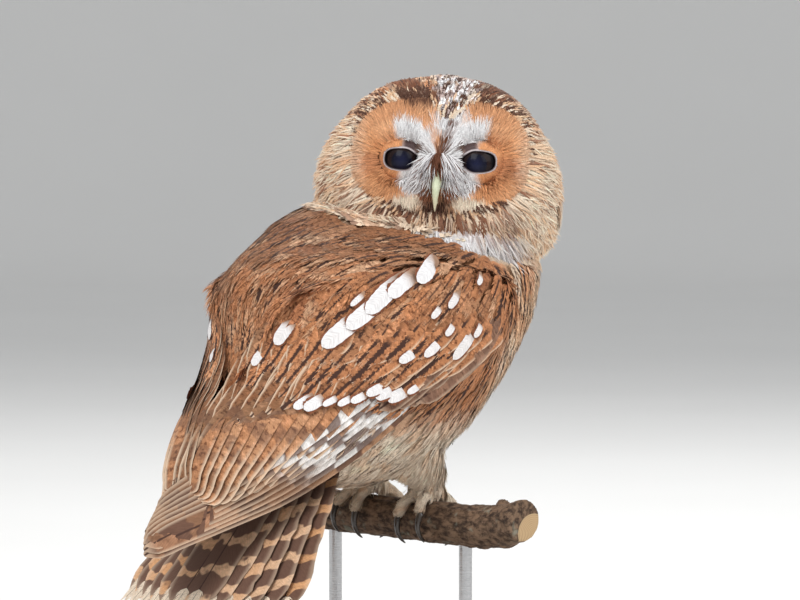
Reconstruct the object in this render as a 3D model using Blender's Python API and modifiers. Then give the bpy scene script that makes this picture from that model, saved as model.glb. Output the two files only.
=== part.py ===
"""A perched tawny owl, rufous morph, life size, looking back over its right shoulder.

The owl grips a cut length of branch on a plain display stand. Metres, +Z up. The owl's body
faces -Y, its right side is towards -X, and the origin is the middle of the stand's underside.

The body's sizes are in millimetres and grow up from the top of the perch: each table below has
a few levels, and smooth_levels puts more between them. "Forward" is the way the body faces.
"""

import math

import bmesh
import bpy
import numpy as np
from mathutils import Matrix, Vector

MM = 0.001
GAP = 0.35 * MM  # clearance kept between touching solids
GAP_MM = GAP / MM

# Stand and perch
BASE_RADIUS, BASE_HEIGHT, BASE_BEVEL = 0.108, 0.018, 0.004
ROD_RADIUS, ROD_SPACING, ROD_SOCKET = 0.0035, 0.056, 0.007
PERCH_TOP = 0.125  # height of the perch's upper side over the floor
PERCH_FRONT = 0.028  # how far the perch lies in front of the stand's centre
PERCH_RADIUS, PERCH_HALF_LENGTH = 0.0115, 0.112
PERCH_EVEN_SHARE = 0.55  # the middle share of the perch, straight under the feet and over the rods
PERCH_UNEVENNESS, PERCH_CROOK = 0.06, 0.035

# Trunk and neck levels: height, front reach, back reach, half width, shift to the owl's left
NECK_SEAM = 116.0
TRUNK_LEVELS = [
    (NECK_SEAM, 80, -103, 70, 0), (106, 77, -106, 72, 0), (97, 74, -106, 73, 0), (81, 64, -107, 73, 0),
    (60, 50, -109, 68, 0), (38, 32, -108, 58, 0), (22, 12, -98, 45, 0), (12, -8, -82, 31, 0),
    (8, -22, -64, 16, 0),
]
NECK_LEVELS = [
    (NECK_SEAM + GAP_MM, 80, -103, 70, 0), (124, 81, -97, 67, 1), (132, 80, -86, 60, 5),
    (139, 76, -72, 49, 14), (146, 70, -59, 38, 22), (153, 60, -41, 29, 26), (160, 50, -20, 20, 26),
]

# Wing levels: height, front reach, back reach, half width of the oval that the wing lies round,
# then the wing's outer and inner edges, in degrees round from the owl's back, and its thickness
WING_LEVELS = [
    (127.5, 83, -95, 69, 82, 64, 3.0), (125.5, 83.5, -97.5, 70.5, 94, 54, 5.5),
    (121, 84, -102, 73.5, 105, 42, 8.0), (113, 83, -109, 75.5, 113, 27, 9.0),
    (92, 72, -108, 77, 116, 13, 9.0), (62, 45, -118, 72, 106, 4, 8.0), (48, 35, -129, 67, 86, 0, 7.0),
    (26, 17, -140, 58, 70, 0, 6.0), (11, 2, -144, 48, 52, 0, 5.0), (-1, -25, -154, 39, 40, 0, 4.0),
    (-12, -42, -168, 31, 30, 0, 3.2), (-22, -50, -175, 26, 19, 0, 2.2),
]
WING_EDGE = 1.0  # thickness along the wing's edges
WING_PARTING = 0.45  # half the space between the folded wings, where they meet over the tail

# Head, in its own frame: x to the owl's left, -y out of the face, z up, from the head's middle
HEAD_CENTRE = Vector((0.0, 33.0, 176.5))  # left, forward and up from the perch top
HEAD_TURN, HEAD_NOD, HEAD_TILT = -135.0, 2.0, 2.4  # degrees, from facing straight ahead
HEAD_SHIFT, HEAD_WIDEST = -3.2, 14.0  # where the head is widest: x, and depth towards the face
# Levels: height, half width, face depth, nape depth
HEAD_LEVELS = [
    (-45, 53, 36, 48), (-42, 57, 40, 53), (-34, 62, 45, 59), (-22, 64.2, 48, 62), (-11, 63.5, 49, 62),
    (-1, 61.5, 48.5, 60), (9, 57.8, 47, 57), (19, 53, 43, 52), (28, 46.5, 37, 46), (36, 37.5, 29, 38),
    (42, 26, 20, 27), (45.3, 12, 9, 12), (46, 4, 3, 4),
]
FACE_SQUARENESS = (0.86, 0.80)  # powers that flatten the face's oval, across and in depth
EYE_RADIUS, EYE_SPACING, EYE_HEIGHT, EYE_DEPTH = 11.5, 19.8, 2.5, 33.5
DISH_DEPTH, DISH_HALF_WIDTH, DISH_HALF_HEIGHT, DISH_OUTWARD = 6.0, 15.0, 19.0, 2.0
BRIDGE_RISE, BRIDGE_HALF_WIDTH, BRIDGE_HALF_HEIGHT = 3.0, 6.5, 20.0
RIM_RISE, RIM_RADIUS, RIM_HALF_WIDTH = 1.6, 43.0, 5.0
# Bill halves: root and tip as (depth, height), bow forward, radii from root to tip
BILL_HALVES = {
    "bill_upper": ((42, -1), (56, -22.5), 5.2, (4.6, 4.4, 4.0, 3.5, 2.9, 2.2, 1.3, 0.4)),
    "bill_lower": ((42, -12.5), (51.8, -19.0), 1.0, (3.0, 2.9, 2.7, 2.4, 2.0, 1.5, 0.7)),
}
BILL_NARROWING, BILL_HOOK = 0.72, 1.25

# Tail: root and tip as (forward, up)
TAIL_ROOT, TAIL_TIP = Vector((-56.0, 46.0)), Vector((-143.0, -53.0))
TAIL_HALF_WIDTHS = (20.0, 72.0)
TAIL_FEATHERS, TAIL_ARCH, TAIL_ROUNDING, TAIL_LOBE = 12, 9.0, 0.09, 0.035
TAIL_THICKNESSES = (7.9, 1.4)

# Legs and feet
LEG_STATIONS = [  # sideways, forward, up, radius
    (30, -30, 58, 25), (29, -22, 40, 22), (27, -12, 25, 17), (25.5, -5, 17, 13), (24.5, -2, 12, 10.8),
    (24.5, -2, 9.2, 9.5),
]
FOOT_SPACING = 24.0
FOOT_STATIONS = [(-3.6, 8.5), (0.0, 9.5), (3.2, 9.3), (4.85, 8.0)]  # height over the toes' line, radius
TOE_RADIUS, TOE_TAPER, TOE_PADS, TOE_TIP = 4.6, 0.22, 0.10, 0.72
TOE_BITE = 0.6  # how far the toes' pads are pressed flat by the perch
# Toes: sideways at the root and at the end, then the angles they reach round the perch, from the
# front over the top, at the root and at the end. Two grip in front and two behind, as owls do.
TOES = {
    "inner": (-3.5, -8.0, 86, 10), "middle": (2.5, 4.0, 88, -2), "outer": (3.0, 12.5, 94, 163),
    "hind": (-2.5, -5.5, 94, 172),
}
TALON_RADIUS, TALON_TIP_RADIUS = 2.1, 0.35
TALON_REACH, TALON_ROOT, TALON_ARCH = 62.0, 6.0, 1.6  # degrees round the perch twice, then mm

# Colour and roughness
FINISHES = {
    "plumage_rufous": ((0.42, 0.19, 0.075), 0.85),
    "plumage_buff": ((0.68, 0.50, 0.32), 0.88),
    "plumage_face": ((0.62, 0.33, 0.15), 0.88),
    "eye": ((0.012, 0.012, 0.022), 0.08),
    "bill": ((0.62, 0.66, 0.45), 0.35),
    "talon": ((0.06, 0.05, 0.045), 0.30),
    "foot_feathers": ((0.74, 0.66, 0.54), 0.88),
    "bark": ((0.20, 0.13, 0.085), 0.92),
    "stand_wood": ((0.17, 0.085, 0.04), 0.45),
    "stand_steel": ((0.55, 0.55, 0.56), 0.30),
}


def clear_scene():
    for old in list(bpy.data.objects):
        bpy.data.objects.remove(old)


def new_collection(name):
    made = bpy.data.collections.new(name)
    bpy.context.scene.collection.children.link(made)
    return made


def new_material(name):
    colour, roughness = FINISHES[name]
    made = bpy.data.materials.new(name)
    made.use_nodes = True
    shader = made.node_tree.nodes["Principled BSDF"]
    shader.inputs["Base Color"].default_value = (*colour, 1.0)
    shader.inputs["Roughness"].default_value = roughness
    shader.inputs["Metallic"].default_value = 1.0 if name == "stand_steel" else 0.0
    return made


def place(left, forward, up):
    """A point given in mm from the perch top, in metres in the scene."""
    return Vector((left * MM, -PERCH_FRONT - forward * MM, PERCH_TOP + up * MM))


def smooth_levels(levels, count, crowding=1.0):
    """More levels through the given ones, on monotone cubics, so that no outline overshoots.

    The new levels crowd towards the two ends, where a body closes fastest.
    """
    table = np.array(sorted(levels), float)
    known, steps = table[:, 0], np.diff(table[:, 0])
    even = np.linspace(0, 1, count)
    share = (1 - crowding) * even + crowding * (0.5 - 0.5 * np.cos(np.pi * even))
    heights = known[0] + (known[-1] - known[0]) * share
    i = np.clip(np.searchsorted(known, heights, side="right") - 1, 0, len(steps) - 1)
    t = (heights - known[i]) / steps[i]
    columns = [heights]
    for values in table[:, 1:].T:
        slope = np.diff(values) / steps
        tangent = np.concatenate([slope[:1], (slope[:-1] + slope[1:]) / 2, slope[-1:]])
        tangent[1:-1][slope[:-1] * slope[1:] <= 0] = 0.0
        for k, s in enumerate(slope):
            tangent[k:k + 2] = np.clip(tangent[k:k + 2], -3 * abs(s), 3 * abs(s))
        columns.append(
            (2 * t**3 - 3 * t**2 + 1) * values[i] + (t**3 - 2 * t**2 + t) * steps[i] * tangent[i]
            + (3 * t**2 - 2 * t**3) * values[i + 1] + (t**3 - t**2) * steps[i] * tangent[i + 1]
        )
    return np.array(columns).T


def turns(count):
    """Angles once round a ring."""
    return [2 * math.pi * k / count for k in range(count)]


def mesh_object(name, bm, collection, material=None, smooth=True):
    bmesh.ops.recalc_face_normals(bm, faces=bm.faces)
    mesh = bpy.data.meshes.new(name)
    bm.to_mesh(mesh)
    bm.free()
    made = bpy.data.objects.new(name, mesh)
    collection.objects.link(made)
    if material:
        mesh.materials.append(materials[material])
    if smooth:
        mesh.shade_smooth()
    return made


def loft(name, rings, collection, material=None):
    """One closed solid through rings of the same number of points, with a fan at each end.

    The sides are triangles, split the same way in a body and in the cutter made from it.
    """
    bm = bmesh.new()
    loops = [[bm.verts.new(p) for p in ring] for ring in rings]
    for lower, upper in zip(loops, loops[1:]):
        for i, a in enumerate(lower):
            j = (i + 1) % len(lower)
            bm.faces.new((a, lower[j], upper[j]))
            bm.faces.new((a, upper[j], upper[i]))
    for loop in (loops[0], loops[-1]):
        middle = bm.verts.new(sum((v.co for v in loop), Vector()) / len(loop))
        for i, a in enumerate(loop):
            bm.faces.new((a, loop[(i + 1) % len(loop)], middle))
    return mesh_object(name, bm, collection, material)


def tube(name, path, radii, collection, material=None, sides=10, across=(1, 0, 0), narrowing=1.0):
    """A solid of changing radius along a path of points in metres, which lies square to across."""
    rings = []
    for i, point in enumerate(path):
        along = (path[min(i + 1, len(path) - 1)] - path[max(i - 1, 0)]).normalized()
        outward = along.cross(Vector(across)).normalized()
        sideways = outward.cross(along)
        rings.append([
            point + radii[i] * (narrowing * math.cos(a) * sideways + math.sin(a) * outward)
            for a in turns(sides)
        ])
    return loft(name, rings, collection, material)


def boolean(target, other, operation="DIFFERENCE"):
    modifier = target.modifiers.new(operation.lower() + "_" + other.name, "BOOLEAN")
    modifier.operation = operation
    modifier.object = other
    other.hide_render = True
    other.display_type = "WIRE"


def cylinder(name, x, y, low, high, radius, collection, material=None, sides=16):
    bm = bmesh.new()
    depth = high - low
    bmesh.ops.create_cone(bm, cap_ends=True, segments=sides, radius1=radius, radius2=radius, depth=depth)
    made = mesh_object(name, bm, collection, material, smooth=False)
    made.location = (x, y, (low + high) / 2)
    return made


def perch_rings(grow):
    """A slightly crooked branch, straight and even where the feet grip it and the rods enter."""
    rings = []
    stations = 13
    for k in range(stations):
        t = 2 * k / (stations - 1) - 1
        free = max(0.0, abs(t) - PERCH_EVEN_SHARE)
        girth = PERCH_RADIUS * (1 + PERCH_UNEVENNESS * math.sin(7 * t) * min(1.0, 3 * free)) + grow
        bend = -PERCH_CROOK * t * free**2
        middle = place(0, 0, -PERCH_RADIUS / MM) + Vector((t * (PERCH_HALF_LENGTH + grow), bend, bend))
        rings.append([middle + girth * Vector((0, math.cos(a), math.sin(a))) for a in turns(14)])
    return rings


def make_stand():
    """A round base, two rods and the cut branch they carry."""
    base = cylinder("stand_base", 0, 0, 0, BASE_HEIGHT, BASE_RADIUS, parts, "stand_wood", sides=40)
    bevel = base.modifiers.new("rounded rim", "BEVEL")
    bevel.width, bevel.segments, bevel.limit_method = BASE_BEVEL, 2, "ANGLE"
    perch = loft("perch", perch_rings(0.0), parts, "bark")
    grown_perch = loft("perch_cutter", perch_rings(GAP), cutters)
    top = PERCH_TOP - 2 * PERCH_RADIUS + ROD_SOCKET
    bottom = BASE_HEIGHT - ROD_SOCKET
    for name, side in (("stand_rod_right", -1), ("stand_rod_left", 1)):
        x = side * ROD_SPACING
        cylinder(name, x, -PERCH_FRONT, bottom, top, ROD_RADIUS, parts, "stand_steel")
        socket = name + "_socket"
        socket = cylinder(socket, x, -PERCH_FRONT, bottom - GAP, top + GAP, ROD_RADIUS + GAP, cutters)
        boolean(perch, socket)
        boolean(base, socket)
    return grown_perch


def body_loft(name, levels, count, grow, collection, material=None):
    """Horizontal ovals stacked up the body."""
    rings = []
    for up, front, back, half_width, shift in smooth_levels(levels, count):
        middle, reach = (front + back) / 2, (front - back) / 2 + grow
        rings.append([
            place(shift + (half_width + grow) * math.sin(a), middle + reach * math.cos(a), up)
            for a in turns(28)
        ])
    return loft(name, rings, collection, material)


def wing_rings(side, grow):
    """Slices of a folded wing: a curved plate round the body, thin at its edges, long at its tip."""
    rings = []
    points_across = 10
    for up, front, back, half_width, outer, inner, thickness in smooth_levels(WING_LEVELS, 19, 0.35):
        middle, reach = (front + back) / 2, (front - back) / 2
        start, end = math.radians(inner), math.radians(outer) + grow / half_width
        if inner > 1:
            start -= grow / half_width
        start = max(start, math.asin((WING_PARTING - grow) / half_width))
        outside, inside = [], []
        for k in range(points_across):
            share = k / (points_across - 1)
            a = start + (end - start) * share
            wall = WING_EDGE + (thickness - WING_EDGE) * math.sin(math.pi * share) ** 0.6
            for points, depth in ((outside, -grow), (inside, wall + grow)):
                x, forward = (half_width - depth) * math.sin(a), middle - (reach - depth) * math.cos(a)
                points.append(place(side * x, forward, up))
        rings.append(outside + inside[::-1])
    rings[0] = [p - Vector((0, 0, grow * MM)) for p in rings[0]]
    rings[-1] = [p + Vector((0, 0, grow * MM)) for p in rings[-1]]
    return rings


def make_wing(name, side, trunk, neck):
    loft(name, wing_rings(side, 0.0), parts, "plumage_rufous")
    bed = loft(name + "_cutter", wing_rings(side, GAP_MM), cutters)
    boolean(trunk, bed)
    boolean(neck, bed)


def head_matrix():
    turned = Matrix.Rotation(math.radians(HEAD_TURN), 4, "Z")
    turned @= Matrix.Rotation(math.radians(HEAD_NOD), 4, "X")
    turned @= Matrix.Rotation(math.radians(HEAD_TILT), 4, "Y")
    return Matrix.Translation(place(*HEAD_CENTRE)) @ turned


def hill(*shares):
    """A smooth bump, 1 at the middle, from distances as shares of its half widths."""
    return math.exp(-sum(share * share for share in shares))


def face_depth(x, z):
    """How far the face is pushed back here: a dish round each eye, a bridge between, a raised rim."""
    dish = hill((abs(x) - EYE_SPACING - DISH_OUTWARD) / DISH_HALF_WIDTH, (z - EYE_HEIGHT) / DISH_HALF_HEIGHT)
    bridge = hill(x / BRIDGE_HALF_WIDTH, (z + EYE_HEIGHT) / BRIDGE_HALF_HEIGHT)
    rim = hill((math.hypot(x, z - EYE_HEIGHT) - RIM_RADIUS) / RIM_HALF_WIDTH)
    return DISH_DEPTH * dish - BRIDGE_RISE * bridge - RIM_RISE * rim


def head_rings(grow):
    """Slices of the feathered head: a dome with a flat, dished face."""
    rings = []
    for up, half_width, face, nape in smooth_levels(HEAD_LEVELS, 16, 0.5):
        ring = []
        for a in turns(30):
            x, facing = math.sin(a), math.cos(a)
            if facing > 0:
                flat_x = math.copysign(abs(x) ** FACE_SQUARENESS[0], x)
                wide, deep = flat_x, -(face - HEAD_WIDEST + grow) * facing ** FACE_SQUARENESS[1]
            else:
                wide, deep = x, -(nape + HEAD_WIDEST + grow) * facing
            wide = wide * (half_width + grow) + HEAD_SHIFT
            deep += face_depth(wide, up) * min(1.0, 1.6 * max(0.0, facing)) - HEAD_WIDEST
            ring.append(head_matrix() @ (Vector((wide, deep, up)) * MM))
        rings.append(ring)
    rings[0] = [p - Vector((0, 0, grow * MM)) for p in rings[0]]
    return rings


def ball(name, centre, radius, collection, material=None):
    bm = bmesh.new()
    bmesh.ops.create_uvsphere(bm, u_segments=18, v_segments=9, radius=radius * MM)
    made = mesh_object(name, bm, collection, material)
    made.matrix_world = head_matrix() @ Matrix.Translation(Vector(centre) * MM)
    return made


def make_eyes(head):
    for name, side in (("eye_right", -1), ("eye_left", 1)):
        centre = (side * EYE_SPACING, -EYE_DEPTH, EYE_HEIGHT)
        ball(name, centre, EYE_RADIUS, parts, "eye")
        boolean(head, ball(name + "_cutter", centre, EYE_RADIUS + GAP_MM, cutters))


def bill_solid(name, shape, grow, collection, material=None):
    """An arc from root to tip, bowed forward, thinning to a point."""
    root, tip, bow, radii = shape
    path = []
    for k in range(len(radii)):
        t = k / (len(radii) - 1)
        depth = root[0] + (tip[0] - root[0]) * t + bow * math.sin(math.pi * t)
        height = root[1] + (tip[1] - root[1]) * t**BILL_HOOK
        path.append(head_matrix() @ (Vector((0, -depth, height)) * MM))
    path[0] += (path[0] - path[1]).normalized() * grow * MM
    across = head_matrix().to_3x3() @ Vector((1, 0, 0))
    grown = [(r + grow) * MM for r in radii]
    return tube(name, path, grown, collection, material, across=across, narrowing=BILL_NARROWING)


def make_bill(head, neck):
    """The hooked upper half and the shorter lower half under it, both set into the face."""
    made, beds = {}, {}
    for name, shape in BILL_HALVES.items():
        made[name] = bill_solid(name, shape, 0.0, parts, "bill")
        beds[name] = bill_solid(name + "_cutter", shape, GAP_MM, cutters)
        boolean(head, beds[name])
        boolean(neck, beds[name])
    boolean(made["bill_lower"], beds["bill_upper"])


def make_tail(grown_trunk):
    """Twelve feathers in a shallow fan, drawn as one arched blade with a lobe for each tip."""
    spine = TAIL_TIP - TAIL_ROOT
    upward = Vector((spine.y, -spine.x)).normalized()
    rings = []
    stations, points_across = 9, 2 * TAIL_FEATHERS + 1
    for k in range(stations):
        s = k / (stations - 1)
        half_width = TAIL_HALF_WIDTHS[0] + (TAIL_HALF_WIDTHS[1] - TAIL_HALF_WIDTHS[0]) * s**1.15
        thickness = TAIL_THICKNESSES[0] + (TAIL_THICKNESSES[1] - TAIL_THICKNESSES[0]) * s
        upper, lower = [], []
        for j in range(points_across):
            w = 2 * j / (points_across - 1) - 1
            notch = TAIL_LOBE * s**6 if j % 2 == 0 else 0.0
            arch = -TAIL_ARCH * (0.4 + 0.6 * s) * w * w
            wall = thickness * (1 - 0.55 * abs(w) ** 3)
            for points, rise in ((upper, arch + wall / 2), (lower, arch - wall / 2)):
                at = TAIL_ROOT + spine * s * (1 - TAIL_ROUNDING * w * w - notch) + upward * rise
                points.append(place(-half_width * w, at.x, at.y))
        rings.append(upper + lower[::-1])
    boolean(loft("tail", rings, parts, "plumage_rufous"), grown_trunk)


def make_leg(name, side, grown_trunk):
    """The feathered shank, as it comes out of the belly feathers."""
    path = [place(side * left, forward, up) for left, forward, up, _ in LEG_STATIONS]
    radii = [radius * MM for *_, radius in LEG_STATIONS]
    boolean(tube(name, path, radii, parts, "foot_feathers", sides=14), grown_trunk)


def wrap_point(left, radius, degrees):
    """A point round the perch: 90 degrees is on top, 0 in front, 180 behind."""
    a = math.radians(degrees)
    return place(left, radius * math.cos(a), radius * math.sin(a) - PERCH_RADIUS / MM)


def talon(name, left, wrap, toe_end, turn, grow, collection, material=None):
    """A dark curved claw, rooted in the end of its toe and bent round the perch."""
    path, radii = [], []
    stations = 7
    for k in range(stations):
        t = k / (stations - 1)
        stand_off = wrap - 0.4 + TALON_ARCH * math.sin(math.pi * t * 0.9)
        path.append(wrap_point(left, stand_off, toe_end + turn * (TALON_REACH * t - TALON_ROOT)))
        radii.append((TALON_RADIUS * (1 - t) ** 0.8 + TALON_TIP_RADIUS + grow) * MM)
    return tube(name, path, radii, collection, material, sides=6)


def make_foot(side_name, side, grown_perch):
    """Four feathered toes from one pad, wrapped round the perch, each with its talon."""
    wrap = PERCH_RADIUS / MM + TOE_RADIUS - TOE_BITE
    path = [wrap_point(side * FOOT_SPACING, wrap + height, 90) for height, _ in FOOT_STATIONS]
    radii = [radius * MM for _, radius in FOOT_STATIONS]
    foot = tube(f"foot_{side_name}", path, radii, parts, "foot_feathers")
    stations = 6
    for toe, (start, end, from_angle, to_angle) in TOES.items():
        path, radii = [], []
        for k in range(stations):
            t = k / (stations - 1)
            left = FOOT_SPACING + start + (end - start) * t
            swell = (1 + TOE_PADS * math.sin(3 * math.pi * t)) * (1 - TOE_TAPER * t)
            path.append(wrap_point(side * left, wrap, from_angle + (to_angle - from_angle) * t))
            radii.append(TOE_RADIUS * MM * swell * (TOE_TIP if k == stations - 1 else 1.0))
        boolean(foot, tube(f"toe_{side_name}_{toe}", path, radii, cutters, sides=7), "UNION")
    for toe, (_, end, from_angle, to_angle) in TOES.items():
        name, left = f"talon_{side_name}_{toe}", side * (FOOT_SPACING + end)
        turn = 1 if to_angle > from_angle else -1
        talon(name, left, wrap, to_angle, turn, 0.0, parts, "talon")
        boolean(foot, talon(name + "_cutter", left, wrap, to_angle, turn, GAP_MM, cutters))
    boolean(foot, grown_perch)


clear_scene()
parts = new_collection("tawny_owl")
cutters = new_collection("cutters")
materials = {name: new_material(name) for name in FINISHES}

grown_perch = make_stand()
trunk = body_loft("trunk", TRUNK_LEVELS, 12, 0.0, parts, "plumage_buff")
grown_trunk = body_loft("trunk_cutter", TRUNK_LEVELS, 12, GAP_MM, cutters)
head = loft("head", head_rings(0.0), parts, "plumage_face")
neck = body_loft("neck", NECK_LEVELS, 9, 0.0, parts, "plumage_rufous")
boolean(neck, loft("head_cutter", head_rings(GAP_MM), cutters))
for side_name, side in (("right", -1), ("left", 1)):
    make_wing(f"wing_{side_name}", side, trunk, neck)
    make_leg(f"leg_{side_name}", side, grown_trunk)
    make_foot(side_name, side, grown_perch)
make_eyes(head)
make_bill(head, neck)
make_tail(grown_trunk)
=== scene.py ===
"""A perched tawny owl of the rufous morph, life size, dressed feather by feather.

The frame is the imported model. Lengths of the bird are in millimetres from the top of the perch:
x to the owl's left, y towards its tail, z up, along the scene's own axes.
"""
import math

import bpy
import numpy as np
from mathutils import Matrix, Vector
from mathutils.bvhtree import BVHTree


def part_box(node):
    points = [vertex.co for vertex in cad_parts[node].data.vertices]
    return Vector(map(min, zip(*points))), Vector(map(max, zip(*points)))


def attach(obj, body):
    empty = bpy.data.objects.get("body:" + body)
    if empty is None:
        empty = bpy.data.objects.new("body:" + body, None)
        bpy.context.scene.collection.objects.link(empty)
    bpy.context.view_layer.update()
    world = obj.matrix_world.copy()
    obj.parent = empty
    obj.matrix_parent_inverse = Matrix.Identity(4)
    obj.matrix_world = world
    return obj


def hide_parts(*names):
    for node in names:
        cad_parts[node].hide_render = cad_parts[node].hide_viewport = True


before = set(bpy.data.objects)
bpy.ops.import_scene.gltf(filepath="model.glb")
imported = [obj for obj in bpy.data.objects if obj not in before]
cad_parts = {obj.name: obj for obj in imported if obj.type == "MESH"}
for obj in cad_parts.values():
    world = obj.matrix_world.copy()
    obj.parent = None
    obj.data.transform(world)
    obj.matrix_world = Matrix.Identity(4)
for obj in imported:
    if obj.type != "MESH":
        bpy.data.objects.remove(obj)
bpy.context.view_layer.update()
bpy.ops.object.select_all(action="DESELECT")

# ---------------------------------------------------------------------------------------------
# Stand base: a turned round of dark stained beech, oiled and waxed, with a softened rim.
# The grain runs straight across it, as it does on a disc cut from a plank.
# ---------------------------------------------------------------------------------------------


class Paint:
    """A short way to lay the nodes of one material or one node group."""

    def __init__(self, tree):
        self.tree = tree

    def node(self, kind, **settings):
        made = self.tree.nodes.new(kind)
        for key, value in settings.items():
            setattr(made, key, value)
        return made

    def put(self, value, socket):
        if hasattr(value, "is_output"):
            self.tree.links.new(value, socket)
        elif isinstance(value, tuple) and socket.type == "RGBA" and len(value) == 3:
            socket.default_value = (*value, 1.0)
        else:
            socket.default_value = value

    def maths(self, operation, a, b=0.0, clamp=False):
        made = self.node("ShaderNodeMath", operation=operation, use_clamp=clamp)
        self.put(a, made.inputs[0])
        self.put(b, made.inputs[1])
        return made.outputs[0]

    def times(self, a, b):
        return self.maths("MULTIPLY", a, b)

    def plus(self, a, b):
        return self.maths("ADD", a, b)

    def minus(self, a, b):
        return self.maths("SUBTRACT", a, b)

    def size_of(self, a):
        return self.maths("ABSOLUTE", a)

    def here(self):
        """Places on the piece, in its object's own space."""
        return self.node("ShaderNodeTexCoord").outputs["Object"]

    def read(self, name, kind="Vector"):
        """A value that was written onto the piece's points."""
        return self.node("ShaderNodeAttribute", attribute_name=name).outputs[kind]

    def give(self, made, **given):
        """Puts values into a node's inputs, named with _ for each space."""
        for key, value in given.items():
            self.put(value, made.inputs[key.replace("_", " ")])

    def ramp(self, value, low, high, first=0.0, last=1.0):
        """value from low to high becomes first to last, smoothly and held at the ends."""
        made = self.node("ShaderNodeMapRange", interpolation_type="SMOOTHSTEP")
        for socket, given in zip(made.inputs, (value, low, high, first, last)):
            self.put(given, socket)
        return made.outputs[0]

    def blend(self, share, a, b, kind="MIX"):
        made = self.node("ShaderNodeMix", data_type="RGBA", blend_type=kind)
        self.put(share, made.inputs[0])
        self.put(a, made.inputs[6])
        self.put(b, made.inputs[7])
        return made.outputs[2]

    def noise(self, where, scale, detail=2.0, roughness=0.5):
        made = self.node("ShaderNodeTexNoise")
        self.put(where, made.inputs["Vector"])
        made.inputs["Scale"].default_value = scale
        made.inputs["Detail"].default_value = detail
        made.inputs["Roughness"].default_value = roughness
        return made.outputs["Fac"]

    def stretch(self, where, x, y, z):
        made = self.node("ShaderNodeVectorMath", operation="MULTIPLY")
        self.put(where, made.inputs[0])
        made.inputs[1].default_value = (x, y, z)
        return made.outputs[0]

    def parts(self, where):
        made = self.node("ShaderNodeSeparateXYZ")
        self.put(where, made.inputs[0])
        return made.outputs

    def joined(self, x, y, z):
        made = self.node("ShaderNodeCombineXYZ")
        for socket, given in zip(made.inputs, (x, y, z)):
            self.put(given, socket)
        return made.outputs[0]

    def bump(self, height, strength, distance):
        made = self.node("ShaderNodeBump")
        made.inputs["Strength"].default_value = strength
        made.inputs["Distance"].default_value = distance
        self.put(height, made.inputs["Height"])
        return made.outputs[0]


def finish_of(name, **plain):
    """A new material with its Principled BSDF; plain gives the sockets that are even all over."""
    made = bpy.data.materials.new(name)
    made.use_nodes = True
    shader = made.node_tree.nodes["Principled BSDF"]
    for key, value in plain.items():
        shader.inputs[key.replace("_", " ")].default_value = value
    return made, Paint(made.node_tree), shader


def wear(piece, material):
    """Puts this one material on a piece."""
    piece.data.materials.clear()
    piece.data.materials.append(material)


def wood_grain():
    """A group: grain along X on object coordinates, as a mask and a height."""
    group = bpy.data.node_groups.new("wood_grain", "ShaderNodeTree")
    for name, way, kind in (("Vector", "INPUT", "NodeSocketVector"), ("Grain", "OUTPUT", "NodeSocketFloat")):
        group.interface.new_socket(name, in_out=way, socket_type=kind)
    p = Paint(group)
    place = p.node("NodeGroupInput").outputs["Vector"]
    drift = p.noise(p.stretch(place, 3.0, 14.0, 14.0), 1.0, 3.0)
    across = p.parts(place)[1]
    rings = p.maths("SINE", p.plus(p.times(across, 620.0), p.times(drift, 22.0)))
    fibre = p.noise(p.stretch(place, 40.0, 900.0, 900.0), 1.0, 4.0)
    grain = p.plus(p.times(rings, 0.18), fibre)
    p.put(grain, p.node("NodeGroupOutput").inputs["Grain"])
    return group


GRAIN = wood_grain()


def use_group(p, group, **given):
    made = p.node("ShaderNodeGroup", node_tree=group)
    p.give(made, **given)
    return made.outputs


stained, p, shader = finish_of("stained_beech", Coat_Weight=0.25, Coat_Roughness=0.2)
here = p.here()
grain = use_group(p, GRAIN, Vector=here)["Grain"]
p.give(
    shader,
    Base_Color=p.blend(p.ramp(grain, 0.25, 0.85), (0.055, 0.024, 0.011), (0.165, 0.078, 0.034)),
    Roughness=p.ramp(grain, 0.2, 0.9, 0.48, 0.34),
    Normal=p.bump(grain, 0.35, 0.0004),
)
wear(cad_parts["stand_base"], stained)

# ---------------------------------------------------------------------------------------------
# Rods: two lengths of 7 mm steel bar, brushed round and round, pushed into the base and the
# underside of the branch.
# ---------------------------------------------------------------------------------------------
brushed, p, shader = finish_of("brushed_steel", Metallic=1.0)
here = p.here()
scratch = p.noise(p.stretch(here, 60.0, 60.0, 5200.0), 1.0, 3.0)
p.give(
    shader,
    Base_Color=p.blend(scratch, (0.40, 0.40, 0.41), (0.66, 0.66, 0.67)),
    Roughness=p.ramp(scratch, 0.3, 0.7, 0.24, 0.40),
    Normal=p.bump(scratch, 0.25, 0.0002),
)
for rod in ("stand_rod_right", "stand_rod_left"):
    wear(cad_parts[rod], brushed)


# ---------------------------------------------------------------------------------------------
# Perch: a sawn length of spruce branch. Its bark is split into small scales, with a few knots
# where side twigs were cut off, and its two pale ends show the rings.
# ---------------------------------------------------------------------------------------------
def select_only(*pieces):
    bpy.ops.object.select_all(action="DESELECT")
    for piece in pieces:
        piece.select_set(True)
    bpy.context.view_layer.objects.active = pieces[0]


def copy_of(node, name):
    """A free copy of a CAD node, with its loose triangles merged."""
    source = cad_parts[node]
    made = source.copy()
    made.data = source.data.copy()
    made.name = made.data.name = name
    for modifier in list(made.modifiers):
        made.modifiers.remove(modifier)
    bpy.context.scene.collection.objects.link(made)
    here = source.matrix_world.copy()
    made.parent = None
    made.matrix_world = here
    select_only(made)
    bpy.ops.object.mode_set(mode="EDIT")
    bpy.ops.mesh.select_all(action="SELECT")
    bpy.ops.mesh.remove_doubles(threshold=0.00002)
    bpy.ops.object.mode_set(mode="OBJECT")
    return made


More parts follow.
